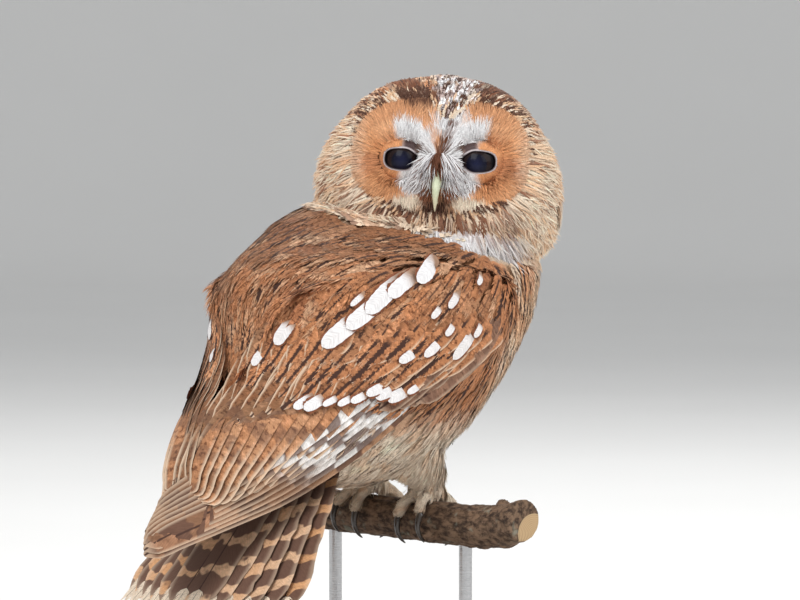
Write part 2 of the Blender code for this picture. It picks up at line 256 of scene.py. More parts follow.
def apply_modifier(piece, kind, **settings):
    select_only(piece)
    made = piece.modifiers.new(kind.lower(), kind)
    for key, value in settings.items():
        setattr(made, key, value)
    bpy.ops.object.modifier_apply(modifier=made.name)


def shape_of(piece):
    """The vertices of a piece as an array, in metres."""
    points = np.empty(len(piece.data.vertices) * 3, np.float32)
    piece.data.vertices.foreach_get("co", points)
    return points.reshape(-1, 3).astype(float)


def reshape(piece, points):
    piece.data.vertices.foreach_set("co", np.ascontiguousarray(points, np.float32).ravel())
    piece.data.update()


def normals_of(piece):
    found = np.empty(len(piece.data.vertices) * 3, np.float32)
    piece.data.vertices.foreach_get("normal", found)
    return found.reshape(-1, 3).astype(float)


def ripple(points, cell, seed):
    """Smooth value noise between -1 and 1 on an array of points; cell is its size."""
    at = np.asarray(points, float) / cell + 100.0 + 17.3 * seed
    low = np.floor(at).astype(np.int64)
    share = at - low
    share = share * share * (3 - 2 * share)
    total = np.zeros(len(at))
    for corner in range(8):
        bits = np.array([corner & 1, (corner >> 1) & 1, (corner >> 2) & 1])
        k = low + bits
        h = (k[:, 0] * 73856093) ^ (k[:, 1] * 19349663) ^ (k[:, 2] * 83492791) ^ (seed * 2654435)
        h = (h ^ (h >> 13)) * 1274126177 & 0x7FFFFFFF
        weight = np.prod(np.where(bits, share, 1 - share), axis=1)
        total += weight * (h / 0x7FFFFFFF * 2 - 1)
    return total


PERCH_AXIS = (-0.028, 0.1135)  # how far forward and how high the middle of the branch lies
perch = copy_of("perch", "perch_branch")
apply_modifier(perch, "REMESH", mode="VOXEL", voxel_size=0.0012)
points, out = shape_of(perch), normals_of(perch)
low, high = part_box("perch")
side = np.clip((np.minimum(points[:, 0] - low[0], high[0] - points[:, 0]) - 0.0015) / 0.002, 0, 1)
stretched = points * np.array([0.45, 1.0, 1.0])
scales = np.abs(ripple(stretched, 0.0042, 3))
bark_height = 0.0007 * (1 - scales * 1.6).clip(0, 1) + 0.0003 * ripple(points, 0.0016, 5)
points = points - out * (bark_height * side)[:, None]
reshape(perch, points)
KNOTS = ((-0.083, 62.0, 0.0048), (-0.041, 208.0, 0.0036), (0.044, 38.0, 0.0040), (0.092, 110.0, 0.0052))
KNOT_LENGTH = 0.0075
for number, (along, turn, radius) in enumerate(KNOTS):
    a = math.radians(turn)
    outward = Vector((0.25, -math.cos(a), math.sin(a))).normalized()
    foot = Vector((along, *PERCH_AXIS)) + outward * 0.0098
    bpy.ops.mesh.primitive_cone_add(
        vertices=14, radius1=radius, radius2=radius * 0.62, depth=KNOT_LENGTH,
        location=foot + outward * KNOT_LENGTH * 0.3, rotation=outward.to_track_quat("Z", "Y").to_euler(),
    )
    stub = bpy.context.object
    bpy.ops.object.transform_apply(location=True, rotation=True, scale=True)
    bpy.ops.object.mode_set(mode="EDIT")
    bpy.ops.mesh.select_all(action="SELECT")
    bpy.ops.mesh.subdivide(number_cuts=2)
    bpy.ops.transform.vertex_random(offset=0.0004, seed=number)
    bpy.ops.object.mode_set(mode="OBJECT")
    select_only(perch, stub)
    bpy.ops.object.join()
perch.data.shade_smooth()

bark, p, shader = finish_of("spruce_bark", Specular_IOR_Level=0.25)
here = p.here()
x, y, z = p.parts(here)
plates = p.noise(p.stretch(here, 160.0, 330.0, 330.0), 1.0, 4.0, 0.65)
lichen = p.ramp(p.noise(here, 120.0, 3.0), 0.60, 0.72)
brown = p.blend(p.ramp(plates, 0.35, 0.65), (0.045, 0.028, 0.020), (0.215, 0.135, 0.085))
brown = p.blend(p.times(lichen, 0.55), brown, (0.27, 0.28, 0.22))
off_y, off_z = p.minus(y, PERCH_AXIS[0]), p.minus(z, PERCH_AXIS[1])
radius = p.maths("SQRT", p.plus(p.times(off_y, off_y), p.times(off_z, off_z)))
rings = p.maths("SINE", p.times(radius, 6200.0))
heartwood = p.blend(p.ramp(rings, -0.2, 1.0), (0.56, 0.40, 0.23), (0.36, 0.22, 0.11))
end = p.times(p.ramp(p.size_of(x), 0.1105, 0.1112), p.ramp(radius, 0.0105, 0.0098))
p.give(
    shader,
    Base_Color=p.blend(end, brown, heartwood),
    Roughness=p.ramp(plates, 0.3, 0.7, 0.95, 0.78),
    Normal=p.bump(plates, 0.7, 0.0008),
)
wear(perch, bark)
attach(perch, "root")
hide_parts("perch")

# ---------------------------------------------------------------------------------------------
# Skin: one closed skin over head, neck, trunk, wing arms, legs and feet. It is the flesh nodes
# grown together and drawn in by the coat's depth; the feathers are rooted in it.
# ---------------------------------------------------------------------------------------------
MM = 0.001
PERCH_POINT = np.array([0.0, -28.0, 125.0])
COAT_DEPTH = 3.2
FLESH = ("trunk", "neck", "head", "leg_left", "leg_right", "foot_left", "foot_right")
FOLDED = ("wing_left", "wing_right", "tail")


def to_owl(points):
    return np.asarray(points, float) / MM - PERCH_POINT


def to_scene(points):
    return (np.asarray(points, float) + PERCH_POINT) * MM


def grown_together(name, nodes, voxel):
    pieces = [copy_of(node, name + "_" + node) for node in nodes]
    select_only(*pieces)
    bpy.ops.object.join()
    made = bpy.context.object
    made.name = made.data.name = name
    apply_modifier(made, "REMESH", mode="VOXEL", voxel_size=voxel)
    apply_modifier(made, "SMOOTH", factor=0.5, iterations=6)
    return made


class Form:
    """The outside of the feathered bird, as a place to lay feathers on."""

    def __init__(self, piece):
        self.points = to_owl(shape_of(piece))
        self.normals = normals_of(piece)
        piece.data.calc_loop_triangles()
        faces = np.empty(len(piece.data.loop_triangles) * 3, np.int32)
        piece.data.loop_triangles.foreach_get("vertices", faces)
        self.faces = faces.reshape(-1, 3)
        self.tree = BVHTree.FromPolygons(self.points.tolist(), self.faces.tolist())

    def drop(self, points):
        """The nearest places on the form, with their smoothed normals."""
        found = np.empty((len(points), 3))
        index = np.empty(len(points), np.int64)
        nearest = self.tree.find_nearest
        for i, point in enumerate(points.tolist()):
            place, _, face, _ = nearest(point)
            found[i] = place
            index[i] = face
        corners = self.faces[index]
        weights = 1.0 / (np.linalg.norm(self.points[corners] - found[:, None], axis=2) + 0.05)
        normal = (self.normals[corners] * weights[..., None]).sum(1)
        return found, normal / np.linalg.norm(normal, axis=1, keepdims=True)

    def scatter(self, spacing, keep, seed, crowd=1.0):
        """Roots at about this spacing where keep(points, normals) holds."""
        rng = np.random.default_rng(seed)
        a, b, c = (self.points[self.faces[:, k]] for k in range(3))
        area = np.linalg.norm(np.cross(b - a, c - a), axis=1) / 2
        middle = (a + b + c) / 3
        face_normal = self.normals[self.faces].sum(1)
        face_normal /= np.linalg.norm(face_normal, axis=1, keepdims=True)
        area = np.where(keep(middle, face_normal), area, 0.0)
        count = int(area.sum() / spacing**2 * (crowd if crowd > 1 else 4.5))
        pick = rng.choice(len(area), count, p=area / area.sum())
        u, v = rng.random((2, count, 1))
        flip = u + v > 1
        u, v = np.where(flip, 1 - u, u), np.where(flip, 1 - v, v)
        points = a[pick] + u * (b - a)[pick] + v * (c - a)[pick]
        normals = face_normal[pick]
        if crowd > 1:
            return points, normals
        taken, kept = {}, []
        cells = np.floor(points / spacing).astype(int).tolist()
        places = points.tolist()
        for i, (cell, place) in enumerate(zip(cells, places)):
            near = False
            for dx in (-1, 0, 1):
                for dy in (-1, 0, 1):
                    for dz in (-1, 0, 1):
                        for other in taken.get((cell[0] + dx, cell[1] + dy, cell[2] + dz), ()):
                            gap = sum((p - q) ** 2 for p, q in zip(place, other))
                            near = near or gap < spacing * spacing
            if not near:
                taken.setdefault(tuple(cell), []).append(place)
                kept.append(i)
        return points[kept], normals[kept]


guide = grown_together("guide_form", FLESH + FOLDED, 0.0018)
form = Form(guide)
bpy.data.objects.remove(guide)

skin = grown_together("skin", FLESH, 0.0022)
for side in (-1, 1):
    arm = copy_of("wing_left" if side > 0 else "wing_right", "arm")
    bpy.ops.object.mode_set(mode="EDIT")
    bpy.ops.mesh.select_all(action="SELECT")
    bpy.ops.mesh.bisect(
        plane_co=to_scene((0, -110, 60)), plane_no=(0.0, 0.35, -1.0), use_fill=True, clear_outer=True,
    )
    bpy.ops.object.mode_set(mode="OBJECT")
    select_only(skin, arm)
    bpy.ops.object.join()
apply_modifier(skin, "REMESH", mode="VOXEL", voxel_size=0.0022)
apply_modifier(skin, "SMOOTH", factor=0.5, iterations=8)
height = to_owl(shape_of(skin))[:, 2]
depth = np.interp(height, [4, 12, 40, 60], [0.9, 1.4, 2.6, COAT_DEPTH])
reshape(skin, shape_of(skin) - normals_of(skin) * depth[:, None] * MM)
apply_modifier(skin, "SMOOTH", factor=0.5, iterations=3)
skin.data.shade_smooth()
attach(skin, "root")
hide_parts(*FLESH)


# The head's own frame: x to the owl's left, -y out of the face, z up, from the head's middle.
HEAD_MIDDLE = np.array([0.0, -33.0, 176.5])
HEAD_TURN, HEAD_NOD, HEAD_TILT = (math.radians(a) for a in (-135, 2.0, 2.4))
HEAD_ROTATION = np.array(
    Matrix.Rotation(HEAD_TURN, 3, "Z") @ Matrix.Rotation(HEAD_NOD, 3, "X")
    @ Matrix.Rotation(HEAD_TILT, 3, "Y")
)
EYE_PLACES = np.array([[-19.8, -33.5, 2.5], [19.8, -33.5, 2.5]])
LID_PLACES = np.array([[-19.3, 3.5], [19.6, 3.8]])


def to_head(points):
    return (np.asarray(points, float) - HEAD_MIDDLE) @ HEAD_ROTATION


def from_head(points):
    return np.asarray(points, float) @ HEAD_ROTATION.T + HEAD_MIDDLE


def turn_from_head(ways):
    return np.asarray(ways, float) @ HEAD_ROTATION.T


# Plumage colours, as light reflected from the dry feather.
RUFOUS = np.array([0.525, 0.222, 0.097])
RUFOUS_DARK = np.array([0.27, 0.095, 0.045])
ORANGE = np.array([0.74, 0.332, 0.145])
BUFF = np.array([0.76, 0.49, 0.30])
CREAM = np.array([0.86, 0.71, 0.55])
WHITE = np.array([0.90, 0.885, 0.89])
GREY = np.array([0.52, 0.49, 0.50])
UMBER = np.array([0.085, 0.038, 0.024])
BROWN = np.array([0.17, 0.075, 0.045])


def unit(ways):
    return ways / np.maximum(np.linalg.norm(ways, axis=-1, keepdims=True), 1e-9)


def triple(x, y, z):
    """Rows of three from arrays and plain numbers."""
    return np.stack(np.broadcast_arrays(x, y, z), -1)


def all_over(colour, count):
    return np.repeat(colour[None], count, 0)


def smooth(value, low, high):
    share = np.clip((value - low) / (high - low), 0, 1)
    return share * share * (3 - 2 * share)


def around(value, middle, half, soft):
    """1 within half of the middle, falling to 0 over soft."""
    return 1 - smooth(np.abs(value - middle), half, half + soft)


def spot(x, z, cx, cz, rx, rz, lean=0.0, soft=0.45):
    """An oval patch on the face, 1 inside; lean turns it, in degrees."""
    a = math.radians(lean)
    u = (x - cx) * math.cos(a) + (z - cz) * math.sin(a)
    v = -(x - cx) * math.sin(a) + (z - cz) * math.cos(a)
    return 1 - smooth(np.hypot(u / rx, v / rz), 1 - soft, 1 + soft)


def tinted(base, mask, colour):
    return base + (colour - base) * np.clip(mask, 0, 1)[:, None]


def dark_brows(h):
    """Where the short feathers over each half of the disc are dark brown: 1 inside."""
    x, _, z = h.T
    patches = spot(x, z, -16.5, 37.5, 13, 5.0, -22) + spot(x, z, 23, 38.5, 10.5, 4.8, -12)
    return np.clip(patches * (0.95 + 0.5 * ripple(h, 1.8, 27)), 0, 1)


def face_marks(h, seed=11):
    """The colours of the face, from places in the head's frame."""
    wander = np.stack([ripple(h, 3.0, seed + k) for k in range(3)], 1)
    x, _, z = (h + 1.0 * wander).T
    own = np.abs(x)
    eye = LID_PLACES[(x > 0).astype(int)]
    from_eye = np.hypot(x - eye[:, 0], z - eye[:, 1])
    tone = all_over(ORANGE, len(x))

    def patched(tone, *patches):
        """Adds patches that lie alike on both halves: strength, colour, then what spot takes."""
        for strength, colour, *place in patches:
            tone = tinted(tone, strength * spot(own, z, *place), colour)
        return tone

    tone = tinted(tone, 0.35 * smooth(from_eye, 15, 29), BUFF * 1.05)
    tone = patched(
        tone, (0.55, RUFOUS_DARK * 1.45, 37, 0, 9, 6), (0.45, ORANGE * 0.78, 29, -11, 13, 8, 20),
        (0.40, RUFOUS * 1.05, 25, 30, 12, 6, -20), (0.3, BUFF * 1.15, 26, 19, 9, 6, -20),
    )
    tone = tinted(tone, 0.5 * smooth(own, 38, 48), CREAM)
    tone = tinted(tone, spot(x, z, 4.5, 28, 8.5, 12, 0, 0.3), WHITE * 0.95)
    tone = patched(
        tone, (1.0, WHITE, 14.5, 17.0, 13.0, 6.6, 38, 0.25), (1.0, WHITE * 0.97, 7.5, 9.0, 5.4, 12, 0, 0.3),
        (1.0, WHITE * 0.86, 9.5, -4, 6.0, 8, 25, 0.35), (1.0, WHITE, 15.0, -8.5, 6.5, 6.0, 20, 0.3),
    )
    wedge = 0.8 * spot(x, z, 5.5, 20, 2.4, 5.0, -20, 0.5) + spot(x, z, 2.0, 12, 3.6, 6.5, -28, 0.4)
    wedge = wedge + spot(x, z, 0.0, 2, 1.9, 11, 0, 0.4)
    tone = tinted(tone, wedge * (0.90 + 0.8 * ripple(h, 1.5, seed + 5)), RUFOUS_DARK * 0.50)
    tone = patched(
        tone, (1.0, CREAM, 15, -19.0, 11, 3.6, -8, 0.35),
        (0.95, RUFOUS_DARK * 0.9, 6.0, -14.5, 5.0, 4.5, 25, 0.4),
    )
    tone = tinted(tone, spot(x, z, -0.5, -23, 8.0, 6.0, 0, 0.35), UMBER)
    tone = patched(tone, (0.95, BROWN * 0.55, 13.5, 11.5, 6.5, 1.9, 14, 0.4))
    return tinted(tone, dark_brows(h) * smooth(z, 30, 34), BROWN * 0.9)


def crown_marks(h):
    """The colours of the crown, nape and cheeks."""
    x, y, z = h.T
    tone = all_over(BUFF, len(x))
    tone = tinted(tone, smooth(ripple(h, 3.2, 21), -0.15, 0.45) * 0.85, RUFOUS * 1.1)
    tone = tinted(tone, smooth(ripple(h, 4, 22), 0.1, 0.6) * 0.55, CREAM)
    lower = smooth(-z, -12, 14)
    tone = tinted(tone, lower * smooth(ripple(h, 4.5, 23), -0.6, 0.2) * 0.85, CREAM * 1.05)
    high = smooth(z, 24, 34)
    behind = high * smooth(y, -14, 4)
    tone = tinted(tone, behind * smooth(ripple(h, 1.9, 24), -0.45, 0.15) * 0.85, BROWN * 1.1)
    edge = high * smooth(ripple(h, 1.9, 24), 0.0, 0.4) * 0.9
    tone = tinted(tone, edge, RUFOUS_DARK)
    side = spot(np.abs(x), z, 40, 23, 5.5, 10, 35) * smooth(y, -4, -18)
    tone = tinted(tone, side * smooth(ripple(h, 1.9, 25), -0.5, 0.1), BROWN * 0.8)
    wander = x - 4.5 - 0.1 * (z - 30) + 2.5 * ripple(h, 2.4, 20)
    stripe = around(wander, 0, 5.5 + 0.35 * np.clip(z - 28, 0, 20), 3.0) * smooth(z, 16, 22)
    tone = tinted(tone, stripe * smooth(y, 4, -12), WHITE)
    tone = tinted(tone, high * smooth(ripple(h, 1.5, 19), 0.25, 0.5) * 0.9, CREAM)
    flecks = stripe * smooth(ripple(h, 1.3, 26), 0.22, 0.5)
    tone = tinted(tone, flecks, BROWN * 0.5)
    return tinted(tone, dark_brows(h) * smooth(y, 2, -10), BROWN * 0.75)


def body_marks(points):
    """The ground colour of the body feathers, from the owl's own places."""
    x, y, z = points.T
    round_back = np.degrees(np.arctan2(np.abs(x), y - 10))
    tone = all_over(RUFOUS, len(x))
    tone = tinted(tone, 0.7 * smooth(ripple(points, 8, 31), 0.0, 0.7), np.array([0.58, 0.310, 0.168]))
    tone = tinted(tone, 0.45 * smooth(ripple(points, 7, 32), 0.1, 0.8), RUFOUS_DARK)
    tone = tone * (1 - 0.38 * smooth(z, 114, 136))[:, None]
    front = smooth(round_back, 108, 124)
    breast = tinted(all_over(BUFF, len(x)), smooth(ripple(points, 8, 33), -0.3, 0.5), CREAM)
    breast = tinted(breast, 0.7 * smooth(ripple(points, 7, 34), 0.0, 0.7) * smooth(z, 60, 100), ORANGE)
    tone = tone + (breast - tone) * front[:, None]
    belly = smooth(z, 52, 34) * (1 - smooth(y, 95, 112))
    pale = tinted(all_over(CREAM, len(x)), smooth(ripple(points, 7, 35), 0.0, 0.6) * 0.6, BUFF)
    return tone + (pale - tone) * belly[:, None]


def to_unwrap(points):
    """The skin's own shape rolled flat: round the body across, and up it."""
    x, y, z = points.T
    turn = np.arctan2(x, y - 20 + 0.35 * np.clip(z - 120, 0, 60)) / (2 * math.pi) + 0.5
    return np.stack([0.02 + 0.96 * turn, 0.02 + 0.96 * np.clip((z + 60) / 285, 0, 1)], 1)


KINDS = {1: ("FLOAT", "value"), 3: ("FLOAT_VECTOR", "vector"), 4: ("FLOAT_COLOR", "color")}


def write_on(piece, **measures):
    """Writes arrays onto a piece's points, each under its own name."""
    for name, values in measures.items():
        kind, field = KINDS[values.shape[1]]
        held = piece.data.attributes.new(name, kind, "POINT")
        held.data.foreach_set(field, values.astype(np.float32).ravel())


def give_tone(piece, tone):
    write_on(piece, tone=np.c_[tone, np.ones(len(tone))])


def on_head(points):
    h = to_head(points)
    return (h[:, 2] > -44) & (np.hypot(h[:, 0] + 3, h[:, 1]) < 66) & (points[:, 2] > 128)


places = to_owl(shape_of(skin))
tone = body_marks(places)
h = to_head(places)
heads = on_head(places)
tone[heads] = crown_marks(h[heads])
facing = heads & (h[:, 1] < -24)
tone[facing] = face_marks(h[facing])
give_tone(skin, tone * 0.8)
downy, p, shader = finish_of("downy_skin", Roughness=0.9, Specular_IOR_Level=0.2)
tone = p.read("tone", "Color")
here = p.here()
down = p.noise(here, 900.0, 3.0)
p.give(
    shader,
    Base_Color=p.blend(p.ramp(down, 0.3, 0.7, 0.35, 0.0), tone, (0.10, 0.06, 0.04)),
    Normal=p.bump(down, 0.6, 0.0006),
)
wear(skin, downy)

# ---------------------------------------------------------------------------------------------
# Eyes: two dark glossy balls, black in the pupil with a painted blue reflection at its middle and
# a thin brown-black iris, each with a slightly raised cornea, set in the sockets of the skull.
# ---------------------------------------------------------------------------------------------
EYE_RADIUS, CORNEA, CORNEA_RISE, PUPIL, IRIS = 11.5, 8.0, 0.8, 5.6, 7.9
glossy, p, shader = finish_of(
    "owl_eye", Coat_Weight=0.10, Coat_Roughness=0.03, Roughness=0.3, Specular_IOR_Level=0.06,
)
reach, fibre, _ = p.parts(p.read("gaze"))
threads = p.noise(p.joined(p.times(fibre, 9.0), p.times(reach, 0.4), 0.0), 1.0, 3.0)
iris = p.blend(threads, (0.008, 0.005, 0.006), (0.026, 0.014, 0.013))
# The pupil is near black; the blue-grey at its middle is a painted reflection.
pupil_and_painted_gleam = p.blend(p.ramp(reach, 0.0, PUPIL), (0.014, 0.016, 0.042), (0.006, 0.006, 0.014))
inside = p.blend(p.ramp(reach, PUPIL - 0.5, PUPIL + 0.3), pupil_and_painted_gleam, iris)
p.give(
    shader,
    Base_Color=p.blend(p.ramp(reach, IRIS - 0.9, IRIS + 0.2), inside, (0.004, 0.003, 0.004)),
)
for name, place in zip(("eye_right", "eye_left"), EYE_PLACES):
    bpy.ops.mesh.primitive_uv_sphere_add(segments=48, ring_count=32, radius=EYE_RADIUS)
    eye = bpy.context.object
    eye.name = eye.data.name = name + "_ball"
    points = shape_of(eye)
    reach = np.hypot(points[:, 0], points[:, 1])
    front = points[:, 2] > 0
    rise = CORNEA_RISE * np.clip(1 - (reach / CORNEA) ** 2, 0, 1) * front
    points[:, 2] += rise
    turn = np.arctan2(points[:, 1], points[:, 0])
    ball = np.c_[points[:, 0], -points[:, 2], points[:, 1]]
    reshape(eye, to_scene(from_head(ball + place)))
    write_on(eye, gaze=np.c_[np.where(front, reach, 99), turn, turn * 0])
    eye.data.shade_smooth()
    wear(eye, glossy)
    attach(eye, "root")
    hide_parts(name)

# ---------------------------------------------------------------------------------------------
# Lids: thin skin over each eyeball, half closed. The rim is black, then a bare pinkish-white
# ring, and a dark brown fold lies over the inner half of the upper lid.
# ---------------------------------------------------------------------------------------------
OPEN_HALF_WIDTH, OPEN_UP, OPEN_DOWN = 9.6, 5.4, 5.2
LID_STEPS = (  # out from the opening's edge, over the eyeball, both in mm
    (-0.10, 0.15), (-0.05, 0.60), (0.25, 0.85), (0.55, 0.85), (0.70, 0.75), (1.10, 0.90), (1.50, 0.85),
    (1.95, 0.75), (2.5, 0.95), (3.3, 0.90), (4.2, 0.9), (5.4, 0.8), (6.8, 0.6), (8.4, 0.0),
)
lid_skin, p, shader = finish_of("lid_skin", Roughness=0.5, Specular_IOR_Level=0.35)
tone = p.read("tone", "Color")
here = p.here()
creases = p.noise(here, 2600.0, 2.0)
p.give(
    shader,
    Base_Color=p.blend(p.ramp(creases, 0.35, 0.7, 0.0, 0.30), tone, (0.16, 0.09, 0.09)),
    Normal=p.bump(creases, 0.5, 0.0003),
)


def lid_place(side, turn, out, over):
    """Places over an eyeball in the head's frame: turn goes round the opening, out away from it."""
    eye, opening = EYE_PLACES[(side + 1) // 2], LID_PLACES[(side + 1) // 2]
    across, upward = np.cos(turn), np.sin(turn)
    height = np.where(upward > 0, OPEN_UP, OPEN_DOWN)
    corner = 2.05 + 0.85 * across
    edge = (np.abs(across) / OPEN_HALF_WIDTH) ** corner + (np.abs(upward) / height) ** corner
    edge = edge ** (-1 / corner)
    slope = unit(np.stack([across / OPEN_HALF_WIDTH, upward / height], 1))
    flat = np.stack([across, upward], 1) * edge[:, None] + slope * np.reshape(out, (-1, 1))
    x, z = opening[0] + side * flat[:, 0], opening[1] + flat[:, 1]
    away = np.hypot(x - eye[0], z - eye[2])
    bulge = np.sqrt(np.maximum((EYE_RADIUS + over) ** 2 - np.minimum(away, 9.5) ** 2, 1.0))
    return np.stack([x, eye[1] - bulge + np.maximum(away - 9.5, 0) * 0.75, z], 1)


for side, name in zip((-1, 1), ("right", "left")):
    turn = np.linspace(0, 2 * math.pi, 72, endpoint=False)
    across, upward = np.cos(turn), np.sin(turn)
    fold = smooth(upward, 0.1, 0.7) * smooth(-across, -0.55, 0.25)
    rings, colours = [], []
    for out, over in LID_STEPS:
        rings.append(from_head(lid_place(side, turn, out, over + fold * 0.7 * around(out, 2.9, 0.6, 1.6))))
        rim = np.repeat(np.array([[0.012, 0.008, 0.010]]), len(turn), 0)
        pale = np.array([0.74, 0.66, 0.67])
        ring = smooth(out, 0.35, 0.75) * (1 - 0.35 * smooth(out, 1.8, 3.6))
        colour = rim + (pale - rim) * ring
        colour = tinted(colour, fold * smooth(out, 0.7, 1.5), np.array([0.050, 0.026, 0.024]))
        corner_shade = smooth(-across, 0.80, 1.0) * smooth(2.5 - out, 0.0, 1.0)
        colour = tinted(colour, corner_shade, rim[0])
        skirt = (smooth(out, 1.3, 1.9) * (1 - fold)) + 0 * turn
        colours.append(tinted(colour, skirt, ORANGE * 0.75))
    count = len(turn)
    faces = [
        (k * count + i, k * count + (i + 1) % count, (k + 1) * count + (i + 1) % count, (k + 1) * count + i)
        for k in range(len(rings) - 1) for i in range(count)
    ]
    if side > 0:
        faces = [face[::-1] for face in faces]
    mesh = bpy.data.meshes.new("lid_" + name)
    mesh.from_pydata(to_scene(np.concatenate(rings)).tolist(), [], faces)
    lid = bpy.data.objects.new("lid_" + name, mesh)
    bpy.context.scene.collection.objects.link(lid)
    give_tone(lid, np.concatenate(colours))
    mesh.shade_smooth()
    apply_modifier(lid, "SUBSURF", levels=1, render_levels=1)
    wear(lid, lid_skin)
    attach(lid, "root")

# ---------------------------------------------------------------------------------------------
# Bill: two hooked halves of pale greenish horn, smooth and slightly waxy, yellower towards the
# tip and with fine darker growth lines. It grows from the skull, under the bristles.
# ---------------------------------------------------------------------------------------------
horn, p, shader = finish_of("bill_horn", Specular_IOR_Level=0.45, Coat_Weight=0.15, Coat_Roughness=0.3)
here = p.here()
cloud = p.noise(here, 260.0, 3.0)
growth = p.noise(p.stretch(here, 300.0, 300.0, 1500.0), 1.0, 3.0)
height = p.parts(here)[2]
green = p.blend(cloud, (0.46, 0.51, 0.33), (0.66, 0.68, 0.50))
green = p.blend(p.ramp(height, 0.288, 0.279), green, (0.66, 0.61, 0.42))
p.give(
    shader,
    Base_Color=p.blend(p.ramp(growth, 0.5, 0.75, 0.0, 0.25), green, (0.36, 0.38, 0.25)),
    Roughness=p.ramp(growth, 0.3, 0.7, 0.36, 0.48),
    Normal=p.bump(growth, 0.25, 0.0002),
)


def smoothed_copy(node, name, material, levels=2):
    made = copy_of(node, name)
    apply_modifier(made, "SUBSURF", levels=levels, render_levels=levels)
    made.data.shade_smooth()
    wear(made, material)
    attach(made, "root")
    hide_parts(node)
    return made


for half in ("bill_upper", "bill_lower"):
    smoothed_copy(half, half + "_horn", horn)

# ---------------------------------------------------------------------------------------------
# Talons: eight curved claws of black horn with faint brown streaks, worn to a low polish. Each
# grows from the end of its toe.
# ---------------------------------------------------------------------------------------------
claw, p, shader = finish_of("talon_horn", Coat_Weight=0.4, Coat_Roughness=0.25)
here = p.here()
streaks = p.noise(p.stretch(here, 900.0, 300.0, 300.0), 1.0, 3.0)
p.give(
    shader,
    Base_Color=p.blend(streaks, (0.010, 0.008, 0.007), (0.060, 0.042, 0.030)),
    Roughness=p.ramp(streaks, 0.3, 0.7, 0.22, 0.38),
    Normal=p.bump(streaks, 0.25, 0.0002),
)
for side in ("left", "right"):
    for toe in ("inner", "middle", "outer", "hind"):
        smoothed_copy("talon_%s_%s" % (side, toe), "claw_%s_%s" % (side, toe), claw, levels=1)

# ---------------------------------------------------------------------------------------------
# Tail: twelve broad feathers in a shallow fan, the middle pair on top. Each is dark brown with
# wavy pale-orange bars, mottled, and has a whitish tip and a stiff brown shaft.
# ---------------------------------------------------------------------------------------------
BAR_SPACING = 13.5


def plumage_marks():
    """A group: the pattern of one feather from its own measures, laid over its ground colour."""
    group = bpy.data.node_groups.new("plumage_marks", "ShaderNodeTree")
    sockets = [
        ("Tone", "INPUT", "NodeSocketColor"), ("Lie", "INPUT", "NodeSocketVector"),
        ("Rel", "INPUT", "NodeSocketVector"), ("Fine", "INPUT", "NodeSocketVector"),
        ("Duty", "INPUT", "NodeSocketFloat"), ("Color", "OUTPUT", "NodeSocketColor"),
        ("Height", "OUTPUT", "NodeSocketFloat"),
    ]
    for name, way, kind in sockets:
        group.interface.new_socket(name, in_out=way, socket_type=kind)
    p = Paint(group)
    given = p.node("NodeGroupInput").outputs
    along, across, pick = p.parts(given["Lie"])
    s, t, mottled = p.parts(given["Rel"])
    streak, fringe, barred = p.parts(given["Fine"])
    far, far_t = p.size_of(across), p.size_of(t)
    shift = p.times(pick, 61.0)
    barb = p.minus(along, p.times(far, 0.75))
    hair_at = p.joined(p.times(barb, 2.6), p.times(far, 0.30), shift)
    hair = p.noise(hair_at, 1.0, 2.0)
    mottle_at = p.joined(p.times(along, 0.62), p.times(across, 0.26), shift)
    mottle = p.noise(mottle_at, 1.0, 3.0, 0.6)
    wave = p.noise(p.joined(p.times(along, 0.22), p.times(across, 0.12), shift), 1.0, 1.0)
    tone = p.blend(p.ramp(hair, 0.30, 0.70, 0.25, 0.0), given["Tone"], (0.0, 0.0, 0.0))
    tone = p.blend(p.ramp(hair, 0.55, 0.80, 0.0, 0.25), tone, (1.0, 0.86, 0.72), "MULTIPLY")
    dark = p.blend(1.0, tone, (0.34, 0.26, 0.24), "MULTIPLY")
    tone = p.blend(p.times(p.ramp(mottle, 0.52, 0.66), mottled), tone, dark)
    light = p.blend(1.0, tone, (1.55, 1.60, 1.75), "MULTIPLY")
    tone = p.blend(p.times(p.ramp(mottle, 0.46, 0.34, 0.0, 0.8), mottled), tone, light)
    phase = p.times(along, 2 * math.pi / BAR_SPACING)
    phase = p.plus(phase, p.times(p.plus(wave, pick), 4.0))
    level = p.minus(1.0, p.times(given["Duty"], 2.0))
    over = p.minus(p.maths("SINE", phase), level)
    bar = p.times(p.ramp(over, -0.22, 0.22), barred)
    tone = p.blend(bar, tone, p.blend(hair, (0.085, 0.040, 0.027), (0.165, 0.085, 0.058)))
    edge = p.maths("MAXIMUM", p.ramp(far_t, 0.74, 1.0), p.ramp(s, 0.90, 1.0))
    edge = p.times(p.times(edge, fringe), p.ramp(s, 0.15, 0.5))
    tone = p.blend(edge, tone, (0.76, 0.58, 0.42))
    ragged = p.times(streak, p.plus(0.35, p.times(mottle, 1.3)))
    inside = p.minus(far, ragged)
    line = p.times(p.ramp(inside, 0.45, -0.35), p.ramp(s, 0.08, 0.30))
    line = p.times(line, p.ramp(streak, 0.05, 0.3))
    tone = p.blend(line, tone, (0.060, 0.027, 0.019))
    ends = p.node("NodeGroupOutput").inputs
    p.put(tone, ends["Color"])
    relief = p.times(hair, p.ramp(mottled, 0.05, 0.5, 0.3, 1.0))
    p.put(p.plus(relief, p.times(p.ramp(far, 0.5, 0.0), 0.6)), ends["Height"])
    return group


MARKS = plumage_marks()
plumage, p, shader = finish_of(
    "plumage", Roughness=0.78, Specular_IOR_Level=0.22, Sheen_Weight=0.04, Sheen_Roughness=0.5,
)
painted = use_group(
    p, MARKS, Tone=p.read("tone", "Color"), Lie=p.read("lie"), Rel=p.read("rel"), Fine=p.read("fine"),
    Duty=p.read("duty", "Fac"),
)
p.give(
    shader,
    Base_Color=painted["Color"],
    Normal=p.bump(painted["Height"], 0.35, 0.0003),
)

